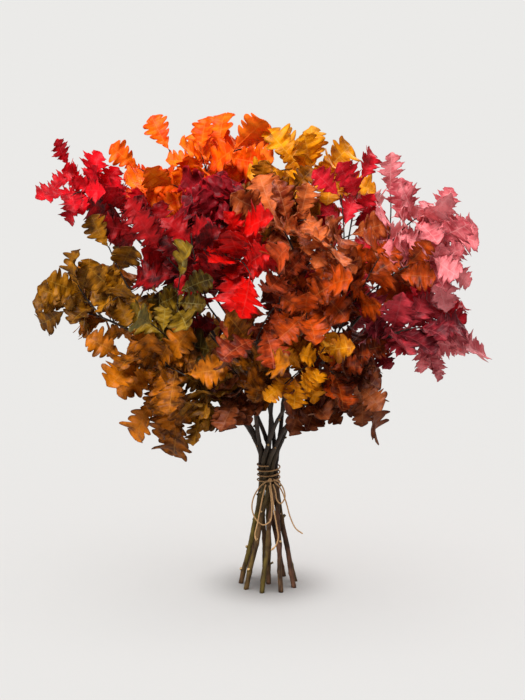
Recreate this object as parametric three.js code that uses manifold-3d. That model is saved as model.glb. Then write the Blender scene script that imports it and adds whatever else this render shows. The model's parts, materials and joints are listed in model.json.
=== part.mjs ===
/**
 * A hand-tied bunch of cut oak branches in autumn leaf, standing on its splayed stem ends.
 *
 * Millimetres, +Z up, front towards -Y. The origin is the middle of the centre stem's cut end, on the
 * surface that the bunch stands on. Ten stems cross in a spiral at the tie, so they splay both ways.
 * Leafy sprays leave each stem: a forked twig with its leaves, joined as one solid. Twine is wrapped
 * round the crossing and tied in a bow.
 */
import * as THREE from 'three';
import { mergeVertices } from 'three/addons/utils/BufferGeometryUtils.js';
import Module from 'manifold-3d';

const wasm = await Module();
wasm.setup();

// ---- driving dimensions --------------------------------------------------------------------------
const TIE_HEIGHT = 190; // middle of the twine wraps above the surface
const RING_RADIUS = 12.2; // circle through the ring stems' centres at the tie
const SPLAY = 0.23; // sideways run of a ring stem for each unit of height
const RING_STEMS = 9;
const FOOT_RADIUS = 4.1; // stem radius at the cut end
const TIE_RADIUS = 3.6; // stem radius at the tie
const TIP_RADIUS = 1.6; // stem radius where it ends in the crown
const STRAIGHT_ABOVE_TIE = 30; // a stem stays straight this far above the tie, then arches
const TAPER_BELOW = 1.4; // a stem reaches its radius at the tie this much sooner than it ends its line
const ARCH_RUN = 0.42; // how far along its own line a stem's arch is pulled, as a share of its span
const ARCH_EASE = 0.25; // how much of that pull is given back towards the straight way to its end
const STEM_SIDES = 8;
const LOWER_STEPS = 2;
const ARCH_STEPS = 8;

const TWIG_BASE_RADIUS = 1.7;
const TWIG_TIP_RADIUS = 0.9;
const TWIG_MIDDLE = 0.45; // where a twig's arch has its middle, as a share of the way to its tip
const TWIG_FOLLOW = 0.16; // how far the parent's own direction carries that middle
const TWIG_BOWS = [0.04, 0.1, -0.03, 0.16, -0.1, 0.22, -0.16, 0.3]; // lifts of it, tried in this order
const SHALLOWEST_FORK = 0.35; // sine of the angle below which a fork is treated as this steep
const FORK_SLIMNESS = 0.8; // the second twig's radius beside the first's
const TWIG_SIDES = 4;
const TWIG_STEPS = 4;
const TWIG_INSET = 1.2; // a twig starts this far clear of the bark that it grows from
const FORK_AT = 0.42; // where the second twig of a spray leaves the first

const LEAF_THICKNESS = 1; // at the middle of a leaf, thinning to nothing at its rim
const LEAF_CENTRE = 0.58; // the thickest place, as a share of the length
const LEAVES_PER_TWIG = 4;
const STALK_SET = 2; // the end leaf's stalk starts this far inside the twig's tip
const BACK_FROM = 75; // leaves further back than this show their upper side to the back
const LEAF_TRIES = 16; // positions a leaf tries before it grows smaller or is left out
const TIP_SPREAD = 0.35; // radians between the end leaf and its twig
const SIDE_SPREAD = 0.95; // radians between the other leaves and their twig
const SPREAD_SWAY = 0.35;
const TURN_SWAY = 0.9;
const FACING_OUT = 0.3; // how much a leaf faces away from the middle of the bunch
const FACING_UP = 0.45;
const FACING_SWAY = [0.55, 0.3, 0.55];
const LENGTH_SHARE = 0.92; // a leaf's mean length beside its spray's leaf size
const LENGTH_SWAY = 0.22;
const LATE_TRIES = 0.6; // past this share of its tries a leaf grows smaller
const LATE_LENGTH = 0.78;
const LEAF_MIDDLE = 0.55; // the middle of a leaf's bounding ball, as a share of its length
const LEAF_REACH = 0.56; // and that ball's radius
const CLEARANCE = 1.1; // between the middle planes of neighbouring leaves
const GAP = 0.35; // between touching pieces

const TWINE_RADIUS = 1.2;
const TWINE_SIDES = 8;
const WRAP_TURNS = 3.75;
const WRAP_HEIGHT = 32;
const WRAP_STEPS_PER_TURN = 12;

const GOLDEN_ANGLE = 2.39996; // radians from one leaf to the next round a twig

// ---- colours -------------------------------------------------------------------------------------
const TINTS = {
  red: '#c4202a',
  orange: '#ee6412',
  crimson: '#8c1a1c',
  scarlet: '#b81a12',
  olive: '#86581a',
  khaki: '#8c7434',
  ochre: '#a8640e',
  yellow: '#dc9428',
  terracotta: '#b4603a',
  coral: '#c4603c',
  raspberry: '#b83238',
  pink: '#cc7470',
  rust: '#b0481a',
  wine: '#76282c',
  brown: '#6c3820',
  burgundy: '#4a1614',
};

// ---- the stems -----------------------------------------------------------------------------------
// Ring stems are listed by the way they lean above the tie, anticlockwise from +X. arch is the end of
// the stem in the crown.
const STEMS = [
  { name: 'stem_pink', arch: [250, -10, 560] },
  { name: 'stem_yellow', arch: [70, 60, 640] },
  { name: 'stem_orange', arch: [-90, 70, 640] },
  { name: 'stem_red', arch: [-235, 50, 590] },
  { name: 'stem_olive', arch: [-265, -10, 450] },
  { name: 'stem_ochre', arch: [-150, -60, 400] },
  { name: 'stem_crimson', arch: [-80, -70, 570] },
  { name: 'stem_brown', arch: [85, -85, 400] },
  { name: 'stem_wine', arch: [215, -50, 440] },
];
const CENTRE_STEM = { name: 'stem_terracotta', arch: [40, -50, 560] };
const FIRST_LEAN = 5; // degrees, the first ring stem's lean above the tie

// ---- the sprays ----------------------------------------------------------------------------------
// stem: the stem it grows on. at: how far up the arch. size: leaf length. tips: where its twigs end.
const SPRAYS = [
  { stem: 'stem_red', at: 1, tint: 'red', size: 52, tips: [[-318, 40, 685], [-308, -15, 645]] },
  { stem: 'stem_red', at: 0.8, tint: 'red', size: 58, tips: [[-272, 20, 650], [-250, 60, 600]] },
  { stem: 'stem_orange', at: 0.7, tint: 'orange', size: 68, tips: [[-158, 60, 706], [-205, 40, 680]] },
  { stem: 'stem_orange', at: 1, tint: 'orange', size: 70, tips: [[-108, 60, 702], [-45, 80, 706]] },
  { stem: 'stem_orange', at: 0.84, tint: 'orange', size: 62, tips: [[-150, 0, 660], [-120, 140, 680]] },
  { stem: 'stem_crimson', at: 1, tint: 'burgundy', size: 58, tips: [[-90, -60, 650], [-80, 0, 640]] },
  { stem: 'stem_crimson', at: 0.62, tint: 'crimson', size: 62, tips: [[-180, -50, 590], [-225, 0, 600]] },
  { stem: 'stem_crimson', at: 0.5, tint: 'crimson', size: 62, tips: [[-165, -100, 572], [-118, -125, 602]] },
  { stem: 'stem_crimson', at: 0.84, tint: 'scarlet', size: 68, tips: [[-40, -120, 602], [-28, -160, 548]] },
  { stem: 'stem_olive', at: 0.7, tint: 'olive', size: 58, tips: [[-250, -30, 565], [-240, -95, 495]] },
  { stem: 'stem_olive', at: 1, tint: 'olive', size: 56, tips: [[-300, -30, 505], [-325, 20, 455]] },
  { stem: 'stem_olive', at: 0.42, tint: 'khaki', size: 62, tips: [[-180, -130, 465], [-135, -130, 540]] },
  { stem: 'stem_olive', at: 0.84, tint: 'ochre', size: 60, tips: [[-290, 60, 440], [-260, 120, 490]] },
  { stem: 'stem_ochre', at: 0.8, tint: 'ochre', size: 64, tips: [[-228, -90, 405], [-130, -130, 385]] },
  { stem: 'stem_ochre', at: 1, tint: 'ochre', size: 66, tips: [[-180, -55, 330], [-140, -30, 296]] },
  { stem: 'stem_ochre', at: 0.6, tint: 'olive', size: 60, tips: [[-105, -85, 312], [-85, -100, 365]] },
  { stem: 'stem_yellow', at: 1, tint: 'yellow', size: 64, tips: [[65, 90, 690], [20, 50, 676], [104, 60, 662]] },
  { stem: 'stem_yellow', at: 0.66, tint: 'ochre', size: 56, tips: [[-10, 10, 650], [40, 0, 650]] },
  { stem: 'stem_terracotta', at: 1, tint: 'terracotta', size: 60, tips: [[0, -70, 625], [55, -95, 620]] },
  { stem: 'stem_terracotta', at: 0.55, tint: 'coral', size: 60, tips: [[15, -150, 560], [-20, -180, 450]] },
  { stem: 'stem_terracotta', at: 0.7, tint: 'rust', size: 62, tips: [[90, -145, 520], [55, -180, 480]] },
  { stem: 'stem_terracotta', at: 0.85, tint: 'terracotta', size: 60, tips: [[125, -60, 590], [100, -120, 580]] },
  { stem: 'stem_pink', at: 0.5, tint: 'raspberry', size: 62, tips: [[112, -20, 645], [145, 30, 662]] },
  { stem: 'stem_pink', at: 0.75, tint: 'pink', size: 60, tips: [[190, -20, 645], [235, -60, 620]] },
  { stem: 'stem_pink', at: 1, tint: 'pink', size: 58, tips: [[262, -20, 606], [270, 40, 570]] },
  { stem: 'stem_pink', at: 0.86, tint: 'pink', size: 60, tips: [[252, -85, 562], [278, -30, 538]] },
  { stem: 'stem_pink', at: 0.4, tint: 'rust', size: 64, tips: [[165, -130, 565], [212, -105, 550]] },
  { stem: 'stem_wine', at: 0.8, tint: 'wine', size: 66, tips: [[190, -115, 455], [240, -85, 450]] },
  { stem: 'stem_wine', at: 0.9, tint: 'raspberry', size: 56, tips: [[266, -40, 478], [250, 20, 500]] },
  { stem: 'stem_wine', at: 1, tint: 'pink', size: 58, tips: [[255, -60, 410], [284, -20, 405]] },
  { stem: 'stem_brown', at: 1, tint: 'brown', size: 62, tips: [[140, -125, 362], [150, -90, 332]] },
  { stem: 'stem_brown', at: 0.6, tint: 'brown', size: 60, tips: [[74, -105, 330], [45, -130, 352]] },
  { stem: 'stem_brown', at: 0.84, tint: 'rust', size: 62, tips: [[100, -145, 390], [130, -90, 410]] },
  { stem: 'stem_brown', at: 0.74, tint: 'yellow', size: 50, tips: [[84, -180, 440], [25, -165, 380]] },
  { stem: 'stem_crimson', at: 0.3, tint: 'ochre', size: 58, tips: [[0, -170, 400], [-35, -160, 445]] },
  { stem: 'stem_crimson', at: 0.2, tint: 'brown', size: 54, tips: [[-62, -140, 402], [-48, -105, 345]] },
  { stem: 'stem_orange', at: 0.5, tint: 'red', size: 64, tips: [[-150, 170, 590], [-90, 200, 520]] },
  { stem: 'stem_red', at: 0.45, tint: 'olive', size: 64, tips: [[-185, 175, 450], [-115, 165, 370]] },
  { stem: 'stem_yellow', at: 0.5, tint: 'rust', size: 64, tips: [[60, 175, 590], [0, 200, 520]] },
  { stem: 'stem_pink', at: 0.62, tint: 'pink', size: 62, tips: [[170, 140, 600], [225, 120, 540]] },
  { stem: 'stem_wine', at: 0.5, tint: 'wine', size: 62, tips: [[190, 130, 440], [125, 165, 375]] },
  { stem: 'stem_yellow', at: 0.28, tint: 'brown', size: 62, tips: [[60, 180, 440], [0, 165, 350]] },
  { stem: 'stem_orange', at: 0.72, tint: 'rust', size: 62, tips: [[-55, 110, 650], [0, 140, 640]] },
];

// ---- the twine's free routes ---------------------------------------------------------------------
const KNOT_CENTRE = [2, -24.5, 184];
const KNOT_RADIUS = 4;
const TWINE_ROUTES = {
  bow_loop_left: {
    steps: 28,
    points: [
      [-3.6, -26, 183], [-14, -27, 174], [-24, -27, 157], [-27, -28, 138], [-21, -31, 121],
      [-9, -34, 112], [2, -34.5, 118], [5, -33, 135], [4, -31, 155], [1, -29.8, 177],
    ],
  },
  bow_loop_right: {
    steps: 17,
    points: [
      [7.6, -25, 186], [16, -26, 182], [24, -27, 170], [26, -28.5, 156], [19.5, -31, 147],
      [13.5, -32, 153], [11, -31, 167], [7, -29, 178.6],
    ],
  },
  tail_left: {
    steps: 14,
    points: [
      [-4.6, -28, 178], [-9, -32.5, 162], [-14, -38, 138], [-18.5, -41, 115], [-22, -41, 97],
      [-20, -41, 88],
    ],
  },
  tail_middle: {
    steps: 16,
    points: [
      [2.5, -31.5, 182], [5, -37, 166], [8.5, -40, 140], [13, -41, 112], [15.5, -42, 92],
      [11, -43, 79], [4, -43, 72],
    ],
  },
  tail_right: {
    steps: 14,
    points: [
      [9.2, -23.5, 181], [19, -20, 169], [28, -22, 147], [35, -26, 122], [44, -29, 104],
      [55, -31, 96],
    ],
  },
};

// ---- small helpers -------------------------------------------------------------------------------
const vector = (point) => new THREE.Vector3(...point);

/** A repeatable number from 0 to 1 for a pair of counters. */
function chance(first, second) {
  const wave = Math.sin(first * 12.9898 + second * 78.233) * 43758.5453;
  return wave - Math.floor(wave);
}

/** A repeatable number from -1 to 1 for a pair of counters. */
const sway = (first, second) => 2 * chance(first, second) - 1;

/** A closed tube through the points, with a radius for each. flatStart puts the first ring on z = 0. */
function loft(points, radii, sides, flatStart = false) {
  const positions = [];
  const faces = [];
  const up = new THREE.Vector3(0.31, 0.87, 0.38);
  points.forEach((point, row) => {
    const before = points[Math.max(row - 1, 0)];
    const after = points[Math.min(row + 1, points.length - 1)];
    const along = after.clone().sub(before).normalize();
    const across = up.clone().cross(along).normalize();
    const upward = along.clone().cross(across);
    for (let side = 0; side < sides; side += 1) {
      const turn = (2 * Math.PI * side) / sides;
      const corner = point.clone();
      corner.addScaledVector(across, radii[row] * Math.cos(turn));
      corner.addScaledVector(upward, radii[row] * Math.sin(turn));
      if (flatStart && row === 0) corner.addScaledVector(along, -corner.z / along.z);
      positions.push(corner.x, corner.y, corner.z);
    }
  });
  const last = (points.length - 1) * sides;
  for (let row = 0; row < points.length - 1; row += 1) {
    for (let side = 0; side < sides; side += 1) {
      const here = row * sides + side;
      const next = row * sides + ((side + 1) % sides);
      faces.push(here, next, here + sides, next, next + sides, here + sides);
    }
  }
  for (let side = 1; side < sides - 1; side += 1) {
    faces.push(0, side + 1, side);
    faces.push(last, last + side, last + side + 1);
  }
  const geometry = new THREE.BufferGeometry();
  geometry.setAttribute('position', new THREE.Float32BufferAttribute(positions, 3));
  geometry.setIndex(faces);
  return geometry;
}

/** A manifold-3d solid from a closed geometry. */
function toSolid(geometry) {
  const bare = geometry.clone();
  bare.deleteAttribute('normal');
  bare.deleteAttribute('uv');
  const merged = mergeVertices(bare, 1e-4);
  const vertProperties = new Float32Array(merged.attributes.position.array);
  const triVerts = new Uint32Array(merged.index.array);
  return new wasm.Manifold(new wasm.Mesh({ numProp: 3, vertProperties, triVerts }));
}

/** A three.js geometry from a manifold-3d solid. */
function toGeometry(solid) {
  const mesh = solid.getMesh();
  const geometry = new THREE.BufferGeometry();
  geometry.setAttribute('position', new THREE.BufferAttribute(mesh.vertProperties, 3));
  geometry.setIndex(new THREE.BufferAttribute(mesh.triVerts, 1));
  return geometry;
}

/** A point on the quadratic arch from start by way of middle to end. */
function archPoint(arch, t) {
  const point = arch.start.clone().multiplyScalar((1 - t) * (1 - t));
  point.addScaledVector(arch.middle, 2 * t * (1 - t));
  return point.addScaledVector(arch.end, t * t);
}

/** The unit direction of the same arch. */
function archDirection(arch, t) {
  const direction = arch.middle.clone().sub(arch.start).multiplyScalar(1 - t);
  direction.addScaledVector(arch.end.clone().sub(arch.middle), t);
  return direction.normalize();
}

// ---- clearance between thin pieces ---------------------------------------------------------------
/** The shortest distance between two segments. */
function segmentDistance(a, b, c, d) {
  const u = b.clone().sub(a);
  const v = d.clone().sub(c);
  const w = a.clone().sub(c);
  const uu = u.dot(u);
  const uv = u.dot(v);
  const vv = v.dot(v);
  const uw = u.dot(w);
  const vw = v.dot(w);
  const bottom = uu * vv - uv * uv;
  let s = bottom > 1e-9 ? THREE.MathUtils.clamp((uv * vw - vv * uw) / bottom, 0, 1) : 0;
  const t = THREE.MathUtils.clamp((uv * s + vw) / vv, 0, 1);
  s = THREE.MathUtils.clamp((uv * t - uw) / uu, 0, 1);
  return a.clone().addScaledVector(u, s).distanceTo(c.clone().addScaledVector(v, t));
}

/** The pieces of a tube as capsules: segment ends, radius and the spray they belong to. */
function capsules(points, radii, owner) {
  const list = [];
  for (let row = 0; row < points.length - 1; row += 1) {
    list.push({ a: points[row], b: points[row + 1], radius: radii[row], owner });
  }
  return list;
}

/** True where the flat outline of a leaf, slightly enlarged, holds the point (across, along). */
function outlineHolds(outline, across, along) {
  let inside = false;
  for (let i = 0, j = outline.length - 1; i < outline.length; j = i, i += 1) {
    const [xi, yi] = outline[i];
    const [xj, yj] = outline[j];
    if (yi > along !== yj > along && across < ((xj - xi) * (along - yi)) / (yj - yi) + xi) {
      inside = !inside;
    }
  }
  return inside;
}

/** True where a segment passes through the leaf's middle plane inside its outline. */
function piercesLeaf(leaf, outline, a, b) {
  const heightA = a.clone().sub(leaf.base).dot(leaf.normal);
  const heightB = b.clone().sub(leaf.base).dot(leaf.normal);
  if (heightA > 0 === heightB > 0) return false;
  const hit = a.clone().lerp(b, heightA / (heightA - heightB)).sub(leaf.base);
  return outlineHolds(outline, hit.dot(leaf.side), hit.dot(leaf.direction));
}

/** True where a point lies on the leaf, within the clearance. */
function touchesLeaf(leaf, outline, point) {
  const offset = point.clone().sub(leaf.base);
  if (Math.abs(offset.dot(leaf.normal)) > CLEARANCE) return false;
  return outlineHolds(outline, offset.dot(leaf.side), offset.dot(leaf.direction));
}

/** True where the rim of one leaf meets the face of another. */
function rimMeetsFace(rimLeaf, faceLeaf, sameSpray) {
  const outline = sameSpray ? faceLeaf.blade : faceLeaf.outline;
  const rim = sameSpray ? rimLeaf.bladeCorners : rimLeaf.corners;
  for (let i = 0, j = rim.length - 1; i < rim.length; j = i, i += 1) {
    if (touchesLeaf(faceLeaf, outline, rim[i])) return true;
    for (const lift of [-CLEARANCE, 0, CLEARANCE]) {
      const a = rim[i].clone().addScaledVector(rimLeaf.normal, lift);
      const b = rim[j].clone().addScaledVector(rimLeaf.normal, lift);
      if (piercesLeaf(faceLeaf, outline, a, b)) return true;
    }
  }
  return false;
}

/** True where a tube's piece meets a leaf. */
function capsuleMeetsLeaf(capsule, leaf) {
  if (piercesLeaf(leaf, leaf.outline, capsule.a, capsule.b)) return true;
  const reach = capsule.radius + CLEARANCE;
  const rim = leaf.corners;
  for (let i = 0, j = rim.length - 1; i < rim.length; j = i, i += 1) {
    if (segmentDistance(rim[j], rim[i], capsule.a, capsule.b) < reach) return true;
  }
  for (const end of [capsule.a, capsule.b]) {
    const offset = end.clone().sub(leaf.base);
    const near = Math.abs(offset.dot(leaf.normal)) < reach;
    if (near && outlineHolds(leaf.outline, offset.dot(leaf.side), offset.dot(leaf.direction))) return true;
  }
  return false;
}

// ---- leaves --------------------------------------------------------------------------------------
// Half an outline, from the stalk's foot to the tip, for a leaf of unit length: across, along.
const HALF_OUTLINE = [[0.23, 0.4], [0.12, 0.56], [0.3, 0.72]];
const RIM_ALLOWANCE = 1.05; // the outline is enlarged this much where clearance is judged

/** The outline of a leaf of a given length, anticlockwise from the stalk's foot, which comes last. */
function leafOutline(length, allowance) {
  const half = HALF_OUTLINE.map(([x, y]) => [x * length * allowance, y * length]);
  const other = half.map(([x, y]) => [-x, y]).reverse();
  return [...half, [0, length * allowance], ...other, [0, 0]];
}

/** One leaf placed on a twig: try is the number of the attempt at a place for it. */
function placeLeaf(arch, spray, seed, order, attempt) {
  const t = 1 - order / TWIG_STEPS;
  const along = archDirection(arch, t);
  const base = archPoint(arch, t);
  if (order === 0) base.addScaledVector(along, -STALK_SET);
  const across = new THREE.Vector3(0, 0, 1).cross(along).normalize();
  const upward = along.clone().cross(across);
  const turn = order * GOLDEN_ANGLE + seed + TURN_SWAY * attempt * sway(seed, attempt + 1);
  const spread = (order === 0 ? TIP_SPREAD : SIDE_SPREAD) + SPREAD_SWAY * sway(seed + 3, order + attempt);
  const direction = along.clone().multiplyScalar(Math.cos(spread));
  direction.addScaledVector(across, Math.sin(spread) * Math.cos(turn));
  direction.addScaledVector(upward, Math.sin(spread) * Math.sin(turn)).normalize();
  const facing = new THREE.Vector3(
    FACING_OUT * Math.sign(base.x) + FACING_SWAY[0] * sway(seed + 5, attempt),
    (base.y > BACK_FROM ? 1 : -1) + FACING_SWAY[1] * sway(seed + 7, attempt),
    FACING_UP + FACING_SWAY[2] * sway(seed + 9, attempt),
  );
  const normal = facing.addScaledVector(direction, -facing.dot(direction)).normalize();
  const shrink = attempt > LATE_TRIES * LEAF_TRIES ? LATE_LENGTH : 1;
  const length = spray.size * (LENGTH_SHARE + LENGTH_SWAY * sway(seed + 11, order)) * shrink;
  const side = direction.clone().cross(normal);
  const leaf = { base, direction, normal, side, length };
  const corner = ([x, y]) => base.clone().addScaledVector(side, x).addScaledVector(direction, y);
  leaf.outline = leafOutline(length, RIM_ALLOWANCE);
  leaf.corners = leaf.outline.map(corner);
  leaf.blade = leaf.outline.slice(0, -1);
  leaf.bladeCorners = leaf.corners.slice(0, -1);
  leaf.centre = corner([0, length * LEAF_MIDDLE]);
  return leaf;
}

/** The thin solid of a placed leaf: its rim joined to a point above and a point below its middle. */
function leafGeometry(leaf) {
  const rim = leafOutline(leaf.length, 1);
  const positions = rim.flatMap(([x, y]) => [x, y, 0]);
  const centre = LEAF_CENTRE * leaf.length;
  positions.push(0, centre, LEAF_THICKNESS / 2, 0, centre, -LEAF_THICKNESS / 2);
  const faces = [];
  for (let i = 0; i < rim.length; i += 1) {
    const next = (i + 1) % rim.length;
    faces.push(i, next, rim.length, next, i, rim.length + 1);
  }
  const geometry = new THREE.BufferGeometry();
  geometry.setAttribute('position', new THREE.Float32BufferAttribute(positions, 3));
  geometry.setIndex(faces);
  const frame = new THREE.Matrix4().makeBasis(leaf.side, leaf.direction, leaf.normal);
  frame.setPosition(leaf.base);
  return geometry.applyMatrix4(frame);
}

// ---- stems ---------------------------------------------------------------------------------------
/** The straight line that a ring stem follows through the tie, by its lean above it. */
function ringLine(lean) {
  const angle = THREE.MathUtils.degToRad(lean) - Math.atan2(SPLAY * TIE_HEIGHT, RING_RADIUS);
  const centre = new THREE.Vector3(Math.cos(angle), Math.sin(angle), 0).multiplyScalar(RING_RADIUS);
  const slope = new THREE.Vector3(-Math.sin(angle) * SPLAY, Math.cos(angle) * SPLAY, 1);
  return (z) => centre.clone().addScaledVector(slope, z - TIE_HEIGHT).setZ(z);
}

/** A stem's route: its line through the tie and the arch that carries on to the crown. */
function stemRoute(stem, line) {
  const start = line(TIE_HEIGHT + STRAIGHT_ABOVE_TIE);
  const end = vector(stem.arch);
  const run = end.distanceTo(start) * ARCH_RUN;
  const direction = line(1).sub(line(0)).normalize();
  const middle = start.clone().addScaledVector(direction, run);
  middle.lerp(start.clone().lerp(end, 0.5), ARCH_EASE);
  return { line, arch: { start, middle, end } };
}

/** A stem's radius at a place on its arch. */
const archRadius = (t) => THREE.MathUtils.lerp(TIE_RADIUS, TIP_RADIUS, t);

/** The points and radii of a stem from its cut end to its tip. */
function stemStations(route) {
  const points = [];
  const radii = [];
  for (let step = 0; step < LOWER_STEPS; step += 1) {
    const t = step / LOWER_STEPS;
    points.push(route.line(t * (TIE_HEIGHT + STRAIGHT_ABOVE_TIE)));
    radii.push(THREE.MathUtils.lerp(FOOT_RADIUS, TIE_RADIUS, Math.min(1, t * TAPER_BELOW)));
  }
  for (let step = 0; step <= ARCH_STEPS; step += 1) {
    points.push(archPoint(route.arch, step / ARCH_STEPS));
    radii.push(archRadius(step / ARCH_STEPS));
  }
  return { points, radii };
}

// ---- sprays --------------------------------------------------------------------------------------
/** The arch of a twig from a parent arch to its tip, bowed by the parent's direction. */
function twigArch(parent, at, tip, parentRadius, bow) {
  const root = archPoint(parent, at);
  const parentDirection = archDirection(parent, at);
  const end = vector(tip);
  const reach = end.distanceTo(root);
  const middle = root.clone().lerp(end, TWIG_MIDDLE);
  middle.addScaledVector(parentDirection, TWIG_FOLLOW * reach);
  middle.z += bow * reach;
  const direction = middle.clone().sub(root).normalize();
  const sine = Math.max(SHALLOWEST_FORK, direction.clone().cross(parentDirection).length());
  let inset = (parentRadius + TWIG_BASE_RADIUS + TWIG_INSET) / sine;
  if (at === 1) inset = (parentRadius + TWIG_BASE_RADIUS) * sine + GAP;
  if (parentRadius === 0) inset = 0;
  return { start: root.addScaledVector(direction, inset), middle, end };
}

/** The points and radii of a twig. */
function twigStations(arch, baseRadius) {
  const points = [];
  const radii = [];
  for (let step = 0; step <= TWIG_STEPS; step += 1) {
    points.push(archPoint(arch, step / TWIG_STEPS));
    radii.push(THREE.MathUtils.lerp(baseRadius, TWIG_TIP_RADIUS, step / TWIG_STEPS));
  }
  return { points, radii };
}

/** True where a tube keeps clear of every piece in a list, apart from those of the owners it joins. */
function tubeIsClear(tube, others, joined) {
  return tube.every((piece) => others.every((other) => {
    if (joined.includes(other.owner)) return true;
    const reach = piece.radius + other.radius + GAP;
    return segmentDistance(piece.a, piece.b, other.a, other.b) > reach;
  }));
}

/** Lays out a spray's twigs, bowing them a little until they pass their neighbours. */
function growTwigs(spray, owner, routes, wood) {
  const route = routes.get(spray.stem);
  const joined = spray.at === 1 ? [owner, spray.stem] : [owner];
  const twigs = [];
  for (const [order, tip] of spray.tips.entries()) {
    const parent = order === 0 ? route.arch : twigs[0].arch;
    const at = order === 0 ? spray.at : FORK_AT;
    const parentRadius = order === 0 ? archRadius(spray.at) : 0;
    const baseRadius = order === 0 ? TWIG_BASE_RADIUS : FORK_SLIMNESS * TWIG_BASE_RADIUS;
    for (const bow of TWIG_BOWS) {
      const arch = twigArch(parent, at, tip, parentRadius, bow);
      const stations = twigStations(arch, baseRadius);
      const tube = capsules(stations.points, stations.radii, owner);
      if (tubeIsClear(tube, wood, joined)) {
        twigs.push({ arch, stations });
        wood.push(...tube);
        break;
      }
    }
    if (twigs.length === order) break;
  }
  return twigs;
}

/** True where a leaf keeps clear of the stems, the twigs of other sprays and all other leaves. */
function leafIsClear(leaf, owner, leaves, wood) {
  const reach = leaf.length * LEAF_REACH;
  for (const other of leaves) {
    if (leaf.centre.distanceTo(other.centre) > reach + other.length * LEAF_REACH) continue;
    const sameSpray = other.owner === owner;
    if (rimMeetsFace(leaf, other, sameSpray) || rimMeetsFace(other, leaf, sameSpray)) return false;
  }
  return wood.every((piece) => piece.owner === owner || !capsuleMeetsLeaf(piece, leaf));
}

/** Grows a twig's leaves, each in the first place that has room for it. */
function growLeaves(twig, spray, owner, twigOrder, leaves, wood) {
  const grown = [];
  for (let order = 0; order < LEAVES_PER_TWIG; order += 1) {
    const seed = 17 * owner + 5 * twigOrder + order + 1;
    for (let attempt = 0; attempt < LEAF_TRIES; attempt += 1) {
      const leaf = placeLeaf(twig.arch, spray, seed, order, attempt);
      leaf.owner = owner;
      if (leafIsClear(leaf, owner, leaves, wood)) {
        leaves.push(leaf);
        grown.push(leaf);
        break;
      }
    }
  }
  return grown;
}

/** One solid of a spray's twigs and leaves. */
function spraySolid(twigs, leaves) {
  let solid = null;
  twigs.forEach((twig, order) => {
    const tube = toSolid(loft(twig.stations.points, twig.stations.radii, TWIG_SIDES));
    solid = order === 0 ? tube : solid.add(tube);
  });
  for (const leaf of leaves) solid = solid.add(toSolid(leafGeometry(leaf)));
  return solid;
}

// ---- twine ---------------------------------------------------------------------------------------
/** A round section for an extruded cord. */
function twineSection() {
  const corners = [];
  for (let side = 0; side < TWINE_SIDES; side += 1) {
    const turn = (2 * Math.PI * side) / TWINE_SIDES;
    corners.push(new THREE.Vector2(TWINE_RADIUS * Math.cos(turn), TWINE_RADIUS * Math.sin(turn)));
  }
  return new THREE.Shape(corners);
}

/** A length of twine along points. */
function twineAlong(points, steps) {
  const extrudePath = new THREE.CatmullRomCurve3(points);
  return new THREE.ExtrudeGeometry(twineSection(), { steps, bevelEnabled: false, extrudePath });
}

/** The wraps round the crossing of the stems. */
function wrapGeometry() {
  const points = [];
  const count = Math.round(WRAP_TURNS * WRAP_STEPS_PER_TURN);
  const sagitta = 1 / Math.cos(Math.PI / WRAP_STEPS_PER_TURN);
  for (let step = 0; step <= count; step += 1) {
    const z = TIE_HEIGHT + WRAP_HEIGHT * (step / count - 0.5);
    const waist = Math.hypot(RING_RADIUS, SPLAY * (z - TIE_HEIGHT)) + TIE_RADIUS;
    const radius = (waist + TWINE_RADIUS + GAP) * sagitta;
    const turn = (2 * Math.PI * step) / WRAP_STEPS_PER_TURN;
    points.push(new THREE.Vector3(radius * Math.cos(turn), radius * Math.sin(turn), z));
  }
  return twineAlong(points, count);
}

// ---- assembly ------------------------------------------------------------------------------------
const bouquet = new THREE.Group();

/** Adds a named piece with its own material. */
function addPiece(name, geometry, color, roughness) {
  const material = new THREE.MeshStandardMaterial({ color, roughness, metalness: 0 });
  const mesh = new THREE.Mesh(geometry, material);
  mesh.name = name;
  bouquet.add(mesh);
}

const BARK = '#4e3a22';
const TWINE = '#c9a27a';

const routes = new Map();
const wood = [];
const leaves = [];

STEMS.forEach((stem, order) => {
  routes.set(stem.name, stemRoute(stem, ringLine(FIRST_LEAN + (360 / RING_STEMS) * order)));
});
routes.set(CENTRE_STEM.name, stemRoute(CENTRE_STEM, (z) => new THREE.Vector3(0, 0, z)));

for (const [name, route] of routes) {
  const { points, radii } = stemStations(route);
  wood.push(...capsules(points, radii, name));
  addPiece(name, loft(points, radii, STEM_SIDES, true), BARK, 0.8);
}

const grownTwigs = SPRAYS.map((spray, owner) => growTwigs(spray, owner, routes, wood));
const tally = {};
SPRAYS.forEach((spray, owner) => {
  const twigs = grownTwigs[owner];
  const grown = twigs.flatMap((twig, order) => growLeaves(twig, spray, owner, order, leaves, wood));
  tally[spray.tint] = (tally[spray.tint] ?? 0) + 1;
  const name = `spray_${spray.tint}_${tally[spray.tint]}`;
  addPiece(name, toGeometry(spraySolid(twigs, grown)), TINTS[spray.tint], 0.7);
});

addPiece('twine_wrap', wrapGeometry(), TWINE, 0.9);
for (const [name, route] of Object.entries(TWINE_ROUTES)) {
  addPiece(`twine_${name}`, twineAlong(route.points.map(vector), route.steps), TWINE, 0.9);
}
const knot = new THREE.IcosahedronGeometry(KNOT_RADIUS, 1);
knot.translate(...KNOT_CENTRE);
addPiece('twine_knot', knot, TWINE, 0.9);

export default bouquet;
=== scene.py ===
"""The looks of a hand-tied bunch of cut oak branches in autumn leaf.

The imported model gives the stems, the leafy sprays and the twine as plain solids. This script grows the same
bunch again from the same rules and dresses it: curled and lobed leaves, barked branches with knots and cut
ends, and twisted jute twine in a bow. Lengths in the growth rules are millimetres, and meshes are in metres.
"""

from __future__ import annotations

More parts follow.
